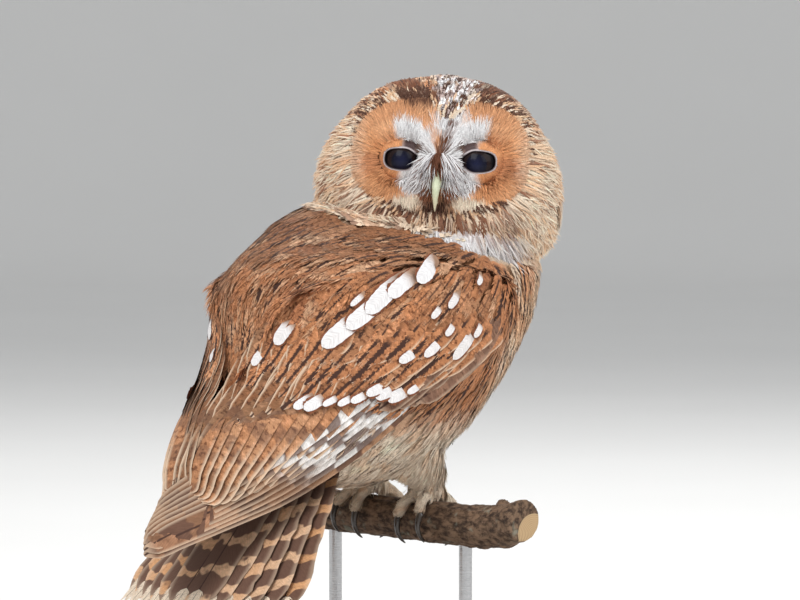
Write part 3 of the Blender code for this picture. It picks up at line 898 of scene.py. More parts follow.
CONTOUR = (0.30, 0.72, 0.95, 1.0, 0.98, 0.90, 0.74, 0.46, 0.12)
QUILL = (0.30, 0.62, 0.82, 0.93, 0.98, 1.0, 1.0, 1.0, 0.99, 0.99, 0.98, 0.96, 0.91, 0.76, 0.12)


def spread(value, count):
    """One value, or one for each feather, as an array."""
    return np.broadcast_to(np.asarray(value, float), (count,)).copy()


CLEAR_OF_SHAFT = 2.0  # how far from a shaft a single hair counts, in mm, so that it has no streak
PLAIN_MARKS = {"mottled": 0.0, "streak": 0.0, "fringe": 0.0, "barred": 0.0, "duty": 0.5}


class Coat:
    """Feathers gathered into one piece, each with its ground colour, measures and bake patch.

    A feather is one layer of mesh. patch is how wide its place is on the unwrap of the skin.
    """

    def __init__(self, name, slot, patch=0.003):
        self.name, self.slot, self.patch = name, slot, patch
        self.held = []
        self.start = 0

    def add(self, points, faces, tone, along, across, s, t, roots, rng, marks):
        """Takes in feathers of one make: faces are the first one's, marks are for each or for all."""
        n, points = len(roots), points.reshape(-1, 3)
        per = len(points) // n
        along, across, s, t = (np.reshape(measure, (n, per)) for measure in (along, across, s, t))
        each = {"pick": rng.random(n)}
        for name, plain in PLAIN_MARKS.items():
            each[name] = spread(marks.get(name, plain), n)
        each = {name: np.repeat(values, per) for name, values in each.items()}
        uv = to_unwrap(roots)[:, None, :] + self.patch / 2 * np.stack([t, 2 * s - 1], -1) * 0.9
        firsts = self.start + np.arange(n) * per
        self.held.append((
            points, (faces[None] + firsts[:, None, None]).reshape(-1, 3),
            np.repeat(tone, len(points) // len(tone), 0),
            np.c_[along.ravel(), across.ravel(), each["pick"]], np.c_[s.ravel(), t.ravel(), each["mottled"]],
            np.c_[each["streak"], each["fringe"], each["barred"]], np.c_[each["duty"]], uv.reshape(-1, 2),
        ))
        self.start += n * per

    def sew(self):
        points, faces, tone, lie, rel, fine, duty, uv = (np.concatenate(rows) for rows in zip(*self.held))
        mesh = bpy.data.meshes.new(self.name)
        mesh.vertices.add(len(points))
        mesh.vertices.foreach_set("co", to_scene(points).astype(np.float32).ravel())
        mesh.loops.add(faces.size)
        mesh.loops.foreach_set("vertex_index", faces.astype(np.int32).ravel())
        mesh.polygons.add(len(faces))
        mesh.polygons.foreach_set("loop_start", np.arange(0, faces.size, 3, dtype=np.int32))
        mesh.update(calc_edges=True)
        made = bpy.data.objects.new(self.name, mesh)
        bpy.context.scene.collection.objects.link(made)
        give_tone(made, tone)
        write_on(made, lie=lie, rel=rel, fine=fine, duty=duty)
        unwrap = mesh.uv_layers.new(name="OFBake")
        unwrap.data.foreach_set("uv", np.clip(uv, 0, 1)[faces.ravel()].astype(np.float32).ravel())
        mesh.shade_smooth()
        wear(made, plumage)
        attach(made, "root")
        print("%s: %d triangles" % (self.name, len(faces)))
        return made

    def vanes(self, centre, normal, half_width, tone, outline=QUILL, columns=7, cup=0.10, sweep=0.45,
              ragged=0.06, pitch=BAR_SPACING, seed=1, **marks):
        """Vanes along centre lines, one layer thick, with barbs that sweep towards the tip."""
        n, k = centre.shape[:2]
        rng = np.random.default_rng(seed)
        forward = unit(np.gradient(centre, axis=1))
        sideways = unit(np.cross(forward, normal))
        shape = np.interp(np.linspace(0, 1, k), np.linspace(0, 1, len(outline)), outline)
        w = spread(half_width, n)[:, None] * shape
        t = np.linspace(-1, 1, columns)
        rough = 1 + ragged * rng.uniform(-1, 1, (n, k, columns)) * (np.abs(t) ** 4)
        wt = w[:, :, None] * t * rough
        swept = np.interp(np.linspace(0, 1, k), (0, 0.3, 0.8, 1), (0.2, 1, 0.9, 0))
        lag = sweep * np.abs(wt) * swept[None, :, None]
        points = centre[:, :, None] + sideways[:, :, None] * wt[..., None]
        points = points - normal[:, :, None] * (cup * np.abs(wt) * np.abs(t))[..., None]
        points = points + forward[:, :, None] * lag[..., None]
        step = np.linalg.norm(np.diff(centre, axis=1), axis=2)
        gone = np.concatenate([np.zeros((n, 1)), np.cumsum(step, 1)], 1)
        along = (gone[:, :, None] + lag) * BAR_SPACING / pitch
        grid = np.arange(k * columns).reshape(k, columns)
        a, b, c, d = grid[:-1, :-1], grid[:-1, 1:], grid[1:, 1:], grid[1:, :-1]
        faces = np.concatenate([triple(a, b, c).reshape(-1, 3), triple(a, c, d).reshape(-1, 3)])
        s = np.broadcast_to(np.linspace(0, 1, k)[None, :, None], wt.shape)
        self.add(points, faces, tone, along, wt, s, np.broadcast_to(t, wt.shape), centre[:, 0], rng, marks)

    def plumes(self, centre, normal, half_width, tone, outline=CONTOUR, barbs=12, spread_from=52.0,
               spread_to=24.0, ragged=0.22, cup=0.16, loose=0.0, fat=1.5, seed=1, **marks):
        """Soft feathers: a line of overlapping pointed barbs down each side of a shaft."""
        n, k = centre.shape[:2]
        rng = np.random.default_rng(seed)
        forward = unit(np.gradient(centre, axis=1))
        sideways = unit(np.cross(forward, normal))
        length = np.linalg.norm(np.diff(centre, axis=1), axis=2).sum(1)
        at = np.linspace(0.04, 0.97, barbs)
        low = np.minimum((at * (k - 1)).astype(int), k - 2)
        part = (at * (k - 1) - low)[None, :, None]

        def along_shaft(values):
            return values[:, low] * (1 - part) + values[:, low + 1] * part

        base, ahead, aside, out = (along_shaft(v)[:, :, None] for v in (centre, forward, sideways, normal))
        shape = np.interp(np.minimum(at + 0.12, 1), np.linspace(0, 1, len(outline)), outline)
        half = spread(half_width, n)
        w = (half[:, None] * shape)[:, :, None] * (1 + ragged * rng.uniform(-1, 0.6, (n, barbs, 2)))
        angle = np.radians(np.linspace(spread_from, spread_to, barbs))[None, :, None]
        angle = angle + ragged * 0.35 * rng.normal(size=(n, barbs, 2))
        sign = np.array([-1.0, 1.0])[None, None]
        run = w / np.sin(np.maximum(angle, 0.25))
        run = np.minimum(run, length[:, None, None] * 0.5)
        thick = (length[:, None, None] / barbs) * np.sin(angle) * 0.5 * fat
        lift = loose * rng.normal(size=(n, barbs, 2))

        def barb_point(share, bend, breadth, drop):
            c, q = np.cos(angle - bend), np.sin(angle - bend) * sign
            way = ahead * c[..., None] + aside * q[..., None]
            square = aside * (c * sign)[..., None] - ahead * np.sin(angle - bend)[..., None]
            middle = base + way * (run * share)[..., None] + out * (lift * share - drop * w)[..., None]
            off = square * (thick * breadth)[..., None]
            return middle - off, middle + off

        a0, a1 = barb_point(0.0, 0.0, 0.75, 0.0)
        b0, b1 = barb_point(0.55, 0.08, 1.0, cup * 0.35)
        tip, _ = barb_point(1.0, 0.24, 0.0, cup)
        points = np.stack([a0, a1, b0, b1, tip], 3)
        gone = np.stack([0 * w, 0 * w, 0.55 * w, 0.55 * w, w], 3)
        reach = gone * sign[..., None]
        going = gone / np.tan(np.maximum(angle, 0.25))[..., None]
        along = at[None, :, None, None] * length[:, None, None, None] + going
        s = np.clip(along / length[:, None, None, None], 0, 1)
        t = np.clip(reach / half[:, None, None, None], -1, 1)
        first = (np.arange(barbs * 2) * 5)[:, None, None]
        faces = (first + np.array([[0, 1, 3], [0, 3, 2], [2, 3, 4]])[None]).reshape(-1, 3)
        self.add(points, faces, tone, along, reach, s, t, centre[:, 0], rng, marks)

    def hairs(self, roots, normals, ways, length, width, tone, lift=0.25, droop=0.2, curl=0.06, seed=1):
        """Single fine barbs, each a pointed strip that leaves the skin and lies over."""
        n = len(roots)
        rng = np.random.default_rng(seed)
        length = spread(length, n) * rng.uniform(0.75, 1.15, n)
        width = spread(width, n) * rng.uniform(0.7, 1.2, n)
        ways = unit(ways - normals * (ways * normals).sum(1, keepdims=True))
        across = np.cross(ways, normals)
        ways = unit(ways + across * rng.normal(0, 0.16, (n, 1)))
        across = np.cross(ways, normals)
        bend = rng.normal(0, curl, n)
        rise, fall = spread(lift, n), spread(droop, n)
        rows = []
        for share, breadth in ((0.0, 0.8), (0.35, 1.0), (0.7, 0.72), (1.0, 0.0)):
            middle = roots + ways * (length * share)[:, None] + across * (bend * length * share**2)[:, None]
            middle = middle + normals * (length * (rise * share - fall * share**2))[:, None]
            rows.append(middle - across * (width * breadth / 2)[:, None])
            if breadth:
                rows.append(middle + across * (width * breadth / 2)[:, None])
        points = np.stack(rows, 1)
        shares = np.array([0, 0, 0.35, 0.35, 0.7, 0.7, 1.0])
        faces = np.array([[0, 1, 3], [0, 3, 2], [2, 3, 5], [2, 5, 4], [4, 5, 6]])
        s = np.broadcast_to(shares, (n, len(shares)))
        off_shaft = np.full(s.shape, CLEAR_OF_SHAFT)
        self.add(points, faces, tone, s * length[:, None], off_shaft, s * 0.85, 0 * s, roots, rng, {})


def varied(tone, amount, seed):
    rng = np.random.default_rng(seed)
    return np.clip(tone * (1 + amount * rng.normal(size=(len(tone), 1))), 0.002, 0.92)


def sag(start, end, steps, bow=None, ease=1.0):
    """Points from start to end, as shares 0 to 1, bowed by bow at the middle."""
    share = np.linspace(0, 1, steps)[None, :] ** ease
    line = np.asarray(start)[:, None] * (1 - share) + np.asarray(end)[:, None] * share
    return line if bow is None else line + 4 * share * (1 - share) * np.asarray(bow)[:, None]


TAIL_ROOT, TAIL_TIP = np.array([56.0, 46.0]), np.array([143.0, -53.0])
TAIL_HALF_WIDTHS, TAIL_ARCH, TAIL_FEATHERS = (20.0, 72.0), 9.0, 12
tail = Coat("feathers_tail", "plumage_rufous", patch=0.055)


def tail_line(fan, steps, first, last, raised):
    """Shaft lines of tail feathers, from how far out each stands in the fan, -1 to 1."""
    s = np.linspace(first, last, steps)[None, :]
    fan = np.asarray(fan)[:, None]
    spine = TAIL_TIP - TAIL_ROOT
    half = TAIL_HALF_WIDTHS[0] + (TAIL_HALF_WIDTHS[1] - TAIL_HALF_WIDTHS[0]) * s**1.15
    thick = 7.9 - 6.5 * s
    rise = -TAIL_ARCH * (0.4 + 0.6 * s) * fan**2 + thick / 2 * (1 - 0.55 * np.abs(fan) ** 3) + raised
    down = s * (1 - 0.09 * fan**2)
    y = TAIL_ROOT[0] + spine[0] * down + 0.75 * rise
    z = TAIL_ROOT[1] + spine[1] * down + 0.66 * rise
    line = np.stack([half * fan, y, z], -1)
    out = unit(np.cross(np.gradient(line, axis=1), np.array([1.0, 0.0, 0.0])))
    return line, out * np.sign(out[..., 1:2])


fan = np.linspace(-0.93, 0.93, TAIL_FEATHERS)
order = np.argsort(-np.abs(fan))
for rank, i in enumerate(order):
    middle = 1 - abs(fan[i])
    line, out = tail_line([fan[i]], 22, 0.04, 0.985, 0.24 * rank - 1.3)
    tone = tinted(np.array([[0.68, 0.355, 0.17]]), np.array([0.14 * (rank % 3)]), CREAM)
    tail.vanes(
        line, out, 15.0 + 3 * middle, tone, columns=9, cup=0.045, mottled=0.3, streak=0.5, fringe=0.35,
        barred=0.97, duty=0.66 + 0.18 * middle, pitch=16.5 + 3 * middle, seed=40 + i,
    )
    tips, out = tail_line([fan[i]], 6, 0.89, 1.0, 0.24 * rank - 1.1)
    tail.plumes(
        tips, out, 14.0, np.array([CREAM]), outline=(0.2, 0.7, 0.95, 1.0, 0.9, 0.6), barbs=30, spread_from=66,
        spread_to=26, ragged=0.12, cup=0.03, fat=1.9, mottled=0.25, streak=0.3, fringe=0.3, seed=60 + i,
    )
tail.sew()

# ---------------------------------------------------------------------------------------------
# Wings: each folded wing is long barred primaries laid like slats, broader secondaries over
# them, then rows of coverts, each row covering the roots of the one below, and a small stiff
# alula at the bend. All are rooted in the wing's arm.
# ---------------------------------------------------------------------------------------------
WING_LEVELS = np.array([  # up, front reach, back reach, half width, outer edge, inner edge in degrees
    (-22, -50, -175, 26, 19, 0), (-12, -42, -168, 31, 30, 0), (-1, -25, -154, 39, 40, 0),
    (11, 2, -144, 48, 52, 0), (26, 17, -140, 58, 70, 0), (48, 35, -129, 67, 86, 0),
    (62, 45, -118, 72, 106, 4), (92, 72, -108, 77, 116, 13), (113, 83, -109, 75.5, 113, 27),
    (121, 84, -102, 73.5, 105, 42), (125.5, 83.5, -97.5, 70.5, 94, 54), (127.5, 83, -95, 69, 82, 64),
], float)


def wing_level(up, column):
    """One measure of the wing at this height, on a curve that never overshoots the levels."""
    known, values = WING_LEVELS[:, 0], WING_LEVELS[:, column]
    up = np.clip(up, known[0], known[-1])
    steps = np.diff(known)
    slope = np.diff(values) / steps
    tangent = np.concatenate([slope[:1], (slope[:-1] + slope[1:]) / 2, slope[-1:]])
    tangent[1:-1][slope[:-1] * slope[1:] <= 0] = 0.0
    i = np.clip(np.searchsorted(known, up, side="right") - 1, 0, len(steps) - 1)
    t, h = (up - known[i]) / steps[i], steps[i]
    return (
        (2 * t**3 - 3 * t**2 + 1) * values[i] + (t**3 - 2 * t**2 + t) * h * tangent[i]
        + (3 * t**2 - 2 * t**3) * values[i + 1] + (t**3 - t**2) * h * tangent[i + 1]
    )


def wing_place(side, turn, up, raised):
    """Places on a folded wing, from degrees round from the back and height, raised outwards."""
    front, back, half = (wing_level(up, column) for column in (1, 2, 3))
    middle, reach = (front + back) / 2, (front - back) / 2
    a = np.radians(turn)
    below = np.minimum(np.asarray(up) + 22, 0)
    x = side * (half + raised) * np.sin(a)
    y = -(middle - (reach + raised) * np.cos(a)) - 0.9 * below
    return np.stack([x, y, np.asarray(up, float)], -1)


def wing_lines(side, turn, up, raised):
    """Shaft lines on a wing with their outward normals."""
    line = wing_place(side, turn, up, raised)
    out = np.stack([np.sin(np.radians(turn)) * side, np.cos(np.radians(turn)), 0.10 + 0 * turn], -1)
    return line, unit(out)


def shingled(line, out, side, tilt=0.10):
    """Normals leant back, so that the outer edge of each vane lies over its neighbour."""
    return unit(out - side * tilt * np.cross(unit(np.gradient(line, axis=1)), out))


def fill(low, high, share):
    return low + (high - low) * np.asarray(share, float)


def wing_turn(points):
    """How far round the wing's oval a place lies, in degrees from the back."""
    up = points[:, 2]
    front, back, half = (wing_level(up, column) for column in (1, 2, 3))
    middle, reach = (front + back) / 2, (front - back) / 2
    return np.degrees(np.arctan2(np.abs(points[:, 0]) / half, (middle + points[:, 1]) / reach))


def body_way(points):
    """The way the feathers lie, from place to place over the body."""
    x, y, z = points.T
    side = np.sign(x)
    round_back = np.degrees(np.arctan2(np.abs(x), y - 10))
    back = unit(np.array([0.0, 150.0, 20.0]) - points)
    wing = unit(triple(-0.05 * side, 0.68, -0.74))
    front = unit(triple(0.10 * side, 0.14, -1.0))
    under = unit(np.array([0.0, 0.45, -0.85]))
    way = back + (wing - back) * smooth(round_back, 55, 85)[:, None]
    way = way + (front - way) * smooth(round_back, 96, 122)[:, None]
    low = smooth(z, 62, 38)[:, None]
    behind, before = smooth(y, 20, 60)[:, None], smooth(y, 40, 0)[:, None]
    return unit(way + (under - way) * low * behind + (front - way) * low * before)


def lay(roots, normals, way, length, steps, root_depth, tip_height, ease=1.0):
    """Shaft lines that follow the form from their roots, rising from under to over the coat."""
    n = len(roots)
    length = spread(length, n)
    at, out = roots, normals
    line, outs = [at], [out]
    for _ in range(steps - 1):
        ahead = way(at)
        ahead = unit(ahead - out * (ahead * out).sum(1, keepdims=True))
        at, out = form.drop(at + ahead * (length / (steps - 1))[:, None])
        line.append(at)
        outs.append(out)
    line, outs = np.stack(line, 1), np.stack(outs, 1)
    share = np.linspace(0, 1, steps)[None, :] ** ease
    rise = -spread(root_depth, n)[:, None] * (1 - share) + spread(tip_height, n)[:, None] * share
    outs[:, 1:-1] = unit(outs[:, :-2] + outs[:, 1:-1] + outs[:, 2:])
    return line + outs * rise[..., None], outs


WING_TOP = 127.4
WEB_STEPS, WEB_HIDDEN = 20, 1.5  # points on a shaft; how far back its root lies, in half lengths
DARK_UNDER, DARK_WIDER = 0.35, 0.9  # the dark feather lies this far under and shows this far past


def white_webs(coat, side, spots, depth, height, seed):
    """White outer webs that show past the feathers over them: turn, height, length, half width."""
    turn, up, length, half = np.array(spots, float).T
    middle = wing_place(side, turn, up, 0.0)
    ahead = body_way(middle) * length[:, None] / 2
    share = np.linspace(0, 1, WEB_STEPS)[None, :]
    turns = sag(wing_turn(middle - WEB_HIDDEN * ahead), wing_turn(middle + ahead), WEB_STEPS)
    ups = sag(up - WEB_HIDDEN * ahead[:, 2], up + ahead[:, 2], WEB_STEPS)
    raised = depth + (height - depth) * smooth(share, 0, 0.7) + np.linspace(0.5, 0.0, len(half))[:, None]
    line, outs = wing_lines(side, turns, np.minimum(ups, WING_TOP), raised)
    tone = tinted(all_over(WHITE, len(half)), np.linspace(0.0, 0.12, len(half)), BUFF)[:, None]
    # Grey-brown towards the root, where the feather above covers it: partly the feather's darker base, partly
    # painted shade.
    root = np.array([0.42, 0.25, 0.16])
    tone = root + (tone - root) * smooth(share, 0.20, 0.48)[..., None]
    coat.vanes(
        line, outs, half, np.repeat(tone, 9, 1).reshape(-1, 3), outline=OVAL, columns=9, cup=0.03, sweep=0.35,
        mottled=0.05, ragged=0.05, seed=seed,
    )
    # A dark brown feather under each white web: its inner web, whose rim past the white stands partly for the
    # white web's shadow.
    coat.vanes(
        line - outs * DARK_UNDER, outs, half + DARK_WIDER, RUFOUS_DARK[None], outline=OVAL, columns=7,
        cup=0.03, sweep=0.55, mottled=0.5, ragged=0.14, seed=seed + 1,
    )


OVAL = np.sqrt(1.001 - np.abs(np.linspace(-1, 1, 24)) ** 3)
EARTH = np.array([0.50, 0.228, 0.106])
STEPS = 24  # points on the shaft of a flight feather
for side, hand in ((-1, "right"), (1, "left")):
    flight = Coat("feathers_flight_" + hand, "plumage_rufous", patch=0.045)
    # Primaries, the lowest and outermost first
    brown, alongside = np.array([0.32, 0.160, 0.088]), np.linspace(0, 1, STEPS)
    outer = np.linspace(-1, 1, 9)[None, None, :, None] * side
    for k in range(8):
        f = k / 7
        # The right wing's tip crosses over the left one's, which ends a little higher
        tip, reach = (fill(14, -8, f), 0) if side < 0 else (fill(11, 6, f), 12)
        turn = sag([fill(92, 70, f)], [tip], STEPS, [fill(9, 5, f)], 0.7)
        up = sag([66.0], [fill(-21, -3, f) + reach], STEPS, [fill(-6, -3, f)], 0.7)
        line, out = wing_lines(side, turn, up, -2.3 + 0.16 * k + 0.12 * k * alongside[None, :])
        out = shingled(line, out, side)
        share = smooth(alongside, 0.24, 0.36)[None, :, None, None]
        pale = np.array([0.82, 0.78, 0.74]) if k else np.array([0.46, 0.25, 0.14])
        low = brown * (1.15 if k % 3 else 0.9)
        tone = pale * (1 - share) + low * share
        # Darker towards the inner web that the next feather covers: partly the web's own brown, partly
        # painted shade under that feather's edge.
        tone = brown * 0.8 + (tone - brown * 0.8) * smooth(outer, -0.45, 0.1)
        flight.vanes(
            line, out, fill(8.0, 10.5, f), tone.reshape(-1, 3), columns=9, cup=0.015, mottled=0.4, streak=0.5,
            fringe=0.5, barred=0.85, duty=0.37 if k else 0.6, pitch=fill(34, 26, f), ragged=0.015,
            seed=100 + k,
        )
    # Secondaries and tertials, over the primaries' roots
    for k in range(12):
        f = k / 11
        turn = sag([fill(67, 8, f)], [fill(50.5, 3.5, f)], STEPS, [fill(1.5, 0, f)], 0.65)
        tip = fill(20, 4.5, min(1, 1.6 * f)) + fill(0, 5, max(0, 2 * f - 1))
        up = sag([68.0], [tip], STEPS, None, 0.65)
        line, out = wing_lines(side, turn, up, -1.5 + 0.15 * k)
        out = shingled(line, out, side, 0.07)
        tone = tinted(np.array([EARTH]), np.array([0.12 + 0.12 * math.sin(2.2 * k)]), BUFF)
        # Darker towards the inner web: painted shade under the neighbouring feather's edge, and partly the
        # inner web's own darker brown.
        tone = tone * (0.55 + 0.45 * smooth(outer, -0.5, 0.5)) * np.ones((1, STEPS, 1, 1))
        flight.vanes(
            line, out, fill(8.5, 12.0, f), tone.reshape(-1, 3), columns=9, cup=0.015, mottled=0.9,
            streak=fill(0.5, 1.6, f), fringe=0.85, barred=fill(0.65, 0.42, f), duty=0.36, pitch=19.0,
            ragged=0.015, seed=130 + k,
        )
    flight.sew()

    coverts = Coat("feathers_coverts_" + hand, "plumage_rufous", patch=0.012)
    ROWS = (  # tips' height from the back to the front, root's height over it, count, turns, half width
        (42, 55, 36, 8, 4, 42, 7.4), (55, 60, 30, 17, 6, 88, 6.6),
        (65, 70, 25, 16, 9, 96, 6.4), (75, 80, 22, 16, 12, 100, 6.2),
    )
    rng = np.random.default_rng(170 + side)
    for number, (back, front, tall, count, first, last, half) in enumerate(ROWS):
        f = np.linspace(0, 1, count)
        tip_turn = fill(first, last, f) + rng.normal(0, 0.9, count)
        tip_up = fill(back, front, f) + rng.normal(0, 1.0, count)
        root_turn = tip_turn + fill(5, 13, f)
        turn = sag(root_turn, tip_turn, 9)
        up = sag(tip_up + tall, tip_up, 9)
        share = np.linspace(0, 1, 9)[None, :]
        raised = -0.9 + 1.0 * share + 0.22 * number + rng.uniform(-0.12, 0.12, (count, 1))
        raised = raised - 2.2 * smooth(turn, 104, 114)
        line, out = wing_lines(side, turn, up, raised)
        tone = varied(body_marks(line[:, 6]), 0.08, 180 + number)
        # Darker towards the inner web: partly its own brown, partly painted shade under the next feather's
        # edge.
        inner_web_and_shade = 0.55 + 0.45 * smooth(np.linspace(-1, 1, 7) * side, -0.6, 0.4)
        coverts.vanes(
            line, out, half * rng.uniform(0.95, 1.1, count),
            (tone[:, None, None] * inner_web_and_shade[:, None] * np.ones((1, 9, 1, 1))).reshape(-1, 3), outline=CONTOUR,
            columns=7, cup=0.05, mottled=0.9, streak=rng.uniform(0.3, 1.2, count), fringe=0.8, ragged=0.04,
            seed=200 + number,
        )
        if number < 2:
            continue
        coverts.plumes(
            line[:, 3:] + out[:, 3:] * 0.08, out[:, 3:], half * 1.06, tone, barbs=16, spread_from=50,
            spread_to=22, ragged=0.22, cup=0.05, fat=1.9, mottled=0.95,
            streak=rng.uniform(0.6, 1.4, count), fringe=0.35, seed=220 + number,
        )
    # Alula and primary coverts, stiff and darker, from the bend of the wing
    for k in range(4):
        turn = sag([107.5 - 0.8 * k], [98.0 - 3.6 * k], 12, [1.5])
        up = sag([104.0 - 2 * k], [66.0 - 3.4 * k], 12)
        line, out = wing_lines(side, turn, up, 0.15 + 0.22 * k - 1.4 * smooth(turn, 100, 110))
        coverts.vanes(
            line, out, 5.4 + 0.5 * k, np.array([[0.30, 0.160, 0.100]]), columns=7, cup=0.05, mottled=0.75,
            streak=0.7, fringe=0.35, barred=0.45, duty=0.4, seed=240 + k,
        )
    for k in range(5):
        turn = sag([101.0 - 3 * k], [92.0 - 4.4 * k], 10)
        up = sag([84.0], [57.5 - 1.2 * k], 10)
        line, out = wing_lines(side, turn, up, -0.6 + 0.2 * k)
        coverts.vanes(
            line, out, 6.0, np.array([[0.26, 0.140, 0.088]]), columns=7, cup=0.05, mottled=0.6, streak=0.5,
            fringe=0.4, barred=0.5, duty=0.45, seed=250 + k,
        )
    TIPS = (  # the white ends of the largest coverts, of the rows over them and of the alula
        (43, 57, 11, 2.5), (47.5, 56.5, 12, 2.9), (53, 57.5, 9, 1.7), (58.5, 57.5, 9, 1.8),
        (62.8, 59, 10, 2.0), (67.5, 63, 13, 2.5), (72, 61, 13, 2.6), (77.5, 60, 15, 3.0),
        (82.5, 63, 11, 1.8), (72, 80, 13, 2.5),
        (80, 84, 15, 2.5), (84, 93, 9, 1.9), (92, 85, 21, 2.9), (96, 92, 10, 1.9),
    )
    white_webs(coverts, side, TIPS, -1.1, 1.35, 260)
    piece = coverts.sew()
    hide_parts("wing_" + hand)
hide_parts("tail")


# ---------------------------------------------------------------------------------------------
# Mantle and scapulars: soft overlapping feathers over the back and shoulders, each with a dark
# shaft streak and fine mottling, and the row of large white-edged ones where back meets wing.
# ---------------------------------------------------------------------------------------------
def head_way(points):
    """The way the feathers lie over the crown, nape and cheeks: back from the face, then down."""
    x, y, z = to_head(points).T
    behind = smooth(y, -20, 40)
    back = 0.95 - 0.85 * smooth(y, 18, 52)
    down = -(0.12 + 0.5 * behind + 0.75 * smooth(np.abs(x), 34, 58) + 0.8 * smooth(z, 0, -30))
    return turn_from_head(unit(triple(0.012 * x, back, down)))


def soft_edge(turn):
    """The height down to which soft feathers cover the back and the wing, at this turn."""
    return np.interp(turn, [0, 13, 30, 60, 85, 100], [70, 74, 80, 83, 86, 92])


def on_mantle(points, normals):
    turn, h = wing_turn(points), to_head(points)
    crease = (normals[:, 2] > 0.1) & (h[:, 2] < -31 - 4 * smooth(h[:, 0], -12, 2)) & (h[:, 1] < -12)
    free = ~on_head(points + normals * 1.5) | crease
    return (points[:, 2] > soft_edge(turn) + 8) & (points[:, 2] < 162) & (turn < 105) & free


mantle = Coat("feathers_mantle", "plumage_rufous", patch=0.012)
roots, out = form.scatter(4.9, on_mantle, 301)
turn = wing_turn(roots)
order = np.argsort(roots[:, 2] - 0.5 * roots[:, 1])
roots, out, turn = roots[order], out[order], turn[order]
rng = np.random.default_rng(302)
count = len(roots)
small = smooth(turn, 42, 66) * smooth(roots[:, 2], 150, 125)
ridge = smooth(np.abs(roots[:, 2] - 125), 13, 4) * smooth(turn, 48, 66)
length = rng.uniform(22, 28, count) * (1 - 0.30 * small) * (1 - 0.2 * ridge)
line, outs = lay(roots, out, body_way, length, 8, 1.1, rng.uniform(0.15, 0.50, count), 0.9)
tone = varied(body_marks(line[:, 5]), 0.10, 303)
light = rng.random(count) < 0.20
tone[light] = tinted(tone[light], np.full(light.sum(), 0.45), BUFF)
half = rng.uniform(7.2, 8.6, count) * (1 - 0.26 * small) * (1 - 0.22 * ridge)
streaked = rng.random(count) < 0.55 - 0.1 * small
bold, faint = rng.uniform(0.5, 1.9, count) * (1 - 0.35 * small), rng.uniform(0, 0.3, count)
mantle.plumes(
    line, outs, half, tone, barbs=17, spread_from=50, spread_to=20, ragged=0.26,
    cup=(0.05 + 0.2 * ridge)[:, None, None], loose=0.10, fat=1.9, mottled=0.95,
    streak=np.where(streaked, bold, faint), fringe=0.12, seed=304,
)
for side in (-1, 1):
    WHITES = (  # turn, height, length and half width of each, from the neck down
        (72, 123.8, 17, 4.3), (65.5, 116, 18, 3.9), (61, 111, 28, 4.6), (53, 101.5, 22, 4.4),
        (45, 92.5, 23, 4.7),
        (51, 109, 9, 1.5), (24, 92, 16, 3.6), (15, 79, 11, 2.6), (93, 118, 7, 1.7), (84, 108, 11, 2.2),
        (78, 102, 9, 1.8),
    )
    white_webs(mantle, side, WHITES, -1.2, 1.15, 320)
mantle.sew()

# ---------------------------------------------------------------------------------------------
# Breast and belly: long soft feathers, buff and cream with dark shaft streaks on the breast,
# paler and looser under the wings, between the legs and under the tail.
# ---------------------------------------------------------------------------------------------
def on_underside(points, normals):
    _, y, z = points.T
    turn, edge = wing_turn(points), wing_level(z, 4)
    front = (turn > edge - 7) & (y < 62)
    vent = (normals[:, 2] < -0.25) & (y < 104) & (z < 62)
    elsewhere = on_mantle(points, normals) | on_head(points + normals * 1.5)
    return (front | vent) & (z > 12) & (z < 152) & ~elsewhere


breast = Coat("feathers_breast", "plumage_buff", patch=0.006)
roots, out = form.scatter(4.3, on_underside, 401)
count = len(roots)
rng = np.random.default_rng(402)
low = smooth(roots[:, 2], 70, 42)
length = rng.uniform(17, 23, count) - 4 * low
line, outs = lay(roots, out, body_way, length, 7, 1.2, rng.uniform(0.2, 0.9, count) + 0.6 * low, 0.9)
tone = varied(body_marks(line[:, 4]), 0.10, 403)
streak = rng.uniform(0.3, 1.7, count) * (rng.random(count) < 0.75) * (1 - 0.75 * low)
breast.plumes(
    line, outs, rng.uniform(4.6, 6.0, count), tone, barbs=13, spread_from=46, spread_to=14, ragged=0.36,
    cup=0.08, loose=0.30, fat=1.8, mottled=0.25, streak=streak, fringe=0.15, seed=404,
)
breast.sew()

# ---------------------------------------------------------------------------------------------
# Legs and feet: dense short buff-white down to the last joint of each toe, so that only the
# talons show bare.
# ---------------------------------------------------------------------------------------------
down = Coat("feathers_legs", "foot_feathers")


def on_shank(points, normals):
    x, y, z = points.T
    beside = (np.abs(x) > 4) & (np.abs(x) < 52)
    return (z > 7) & (z < 56) & beside & (y < 52) & (y > -8) & (wing_turn(points) > 80)


def on_foot(points, normals):
    return (points[:, 2] <= 9) & (np.abs(np.abs(points[:, 0]) - 24) < 24) & (np.abs(points[:, 1]) < 26)


roots, out = form.scatter(1.0, on_shank, 411, crowd=1.15)
way = body_way(roots) * 0.6 + np.array([0, 0.05, -1.0])
tone = tinted(all_over(CREAM, len(roots)), smooth(ripple(roots, 6, 41), 0.0, 0.7) * 0.7, BUFF)
tone = tinted(tone, smooth(ripple(roots, 3.5, 42), 0.45, 0.9) * 0.5, RUFOUS_DARK)
tone = varied(tone, 0.1, 412)
down.hairs(roots - out * 1.2, out, way, 9.5, 0.85, tone, lift=0.34, droop=0.22, curl=0.1, seed=413)
roots, out = form.scatter(1.0, on_foot, 414, crowd=3.2)
x, y, _ = roots.T
outward = triple(0.35 * np.sign(np.abs(x) - 24) * np.sign(x), np.sign(y), -0.6)
tone = tinted(all_over(CREAM * 0.95, len(roots)), smooth(ripple(roots, 4, 43), 0.2, 0.8) * 0.6, BUFF)
tone = varied(tone, 0.1, 415)
down.hairs(roots - out * 0.8, out, outward, 3.6, 0.6, tone, lift=0.35, droop=0.25, curl=0.08, seed=416)
down.sew()


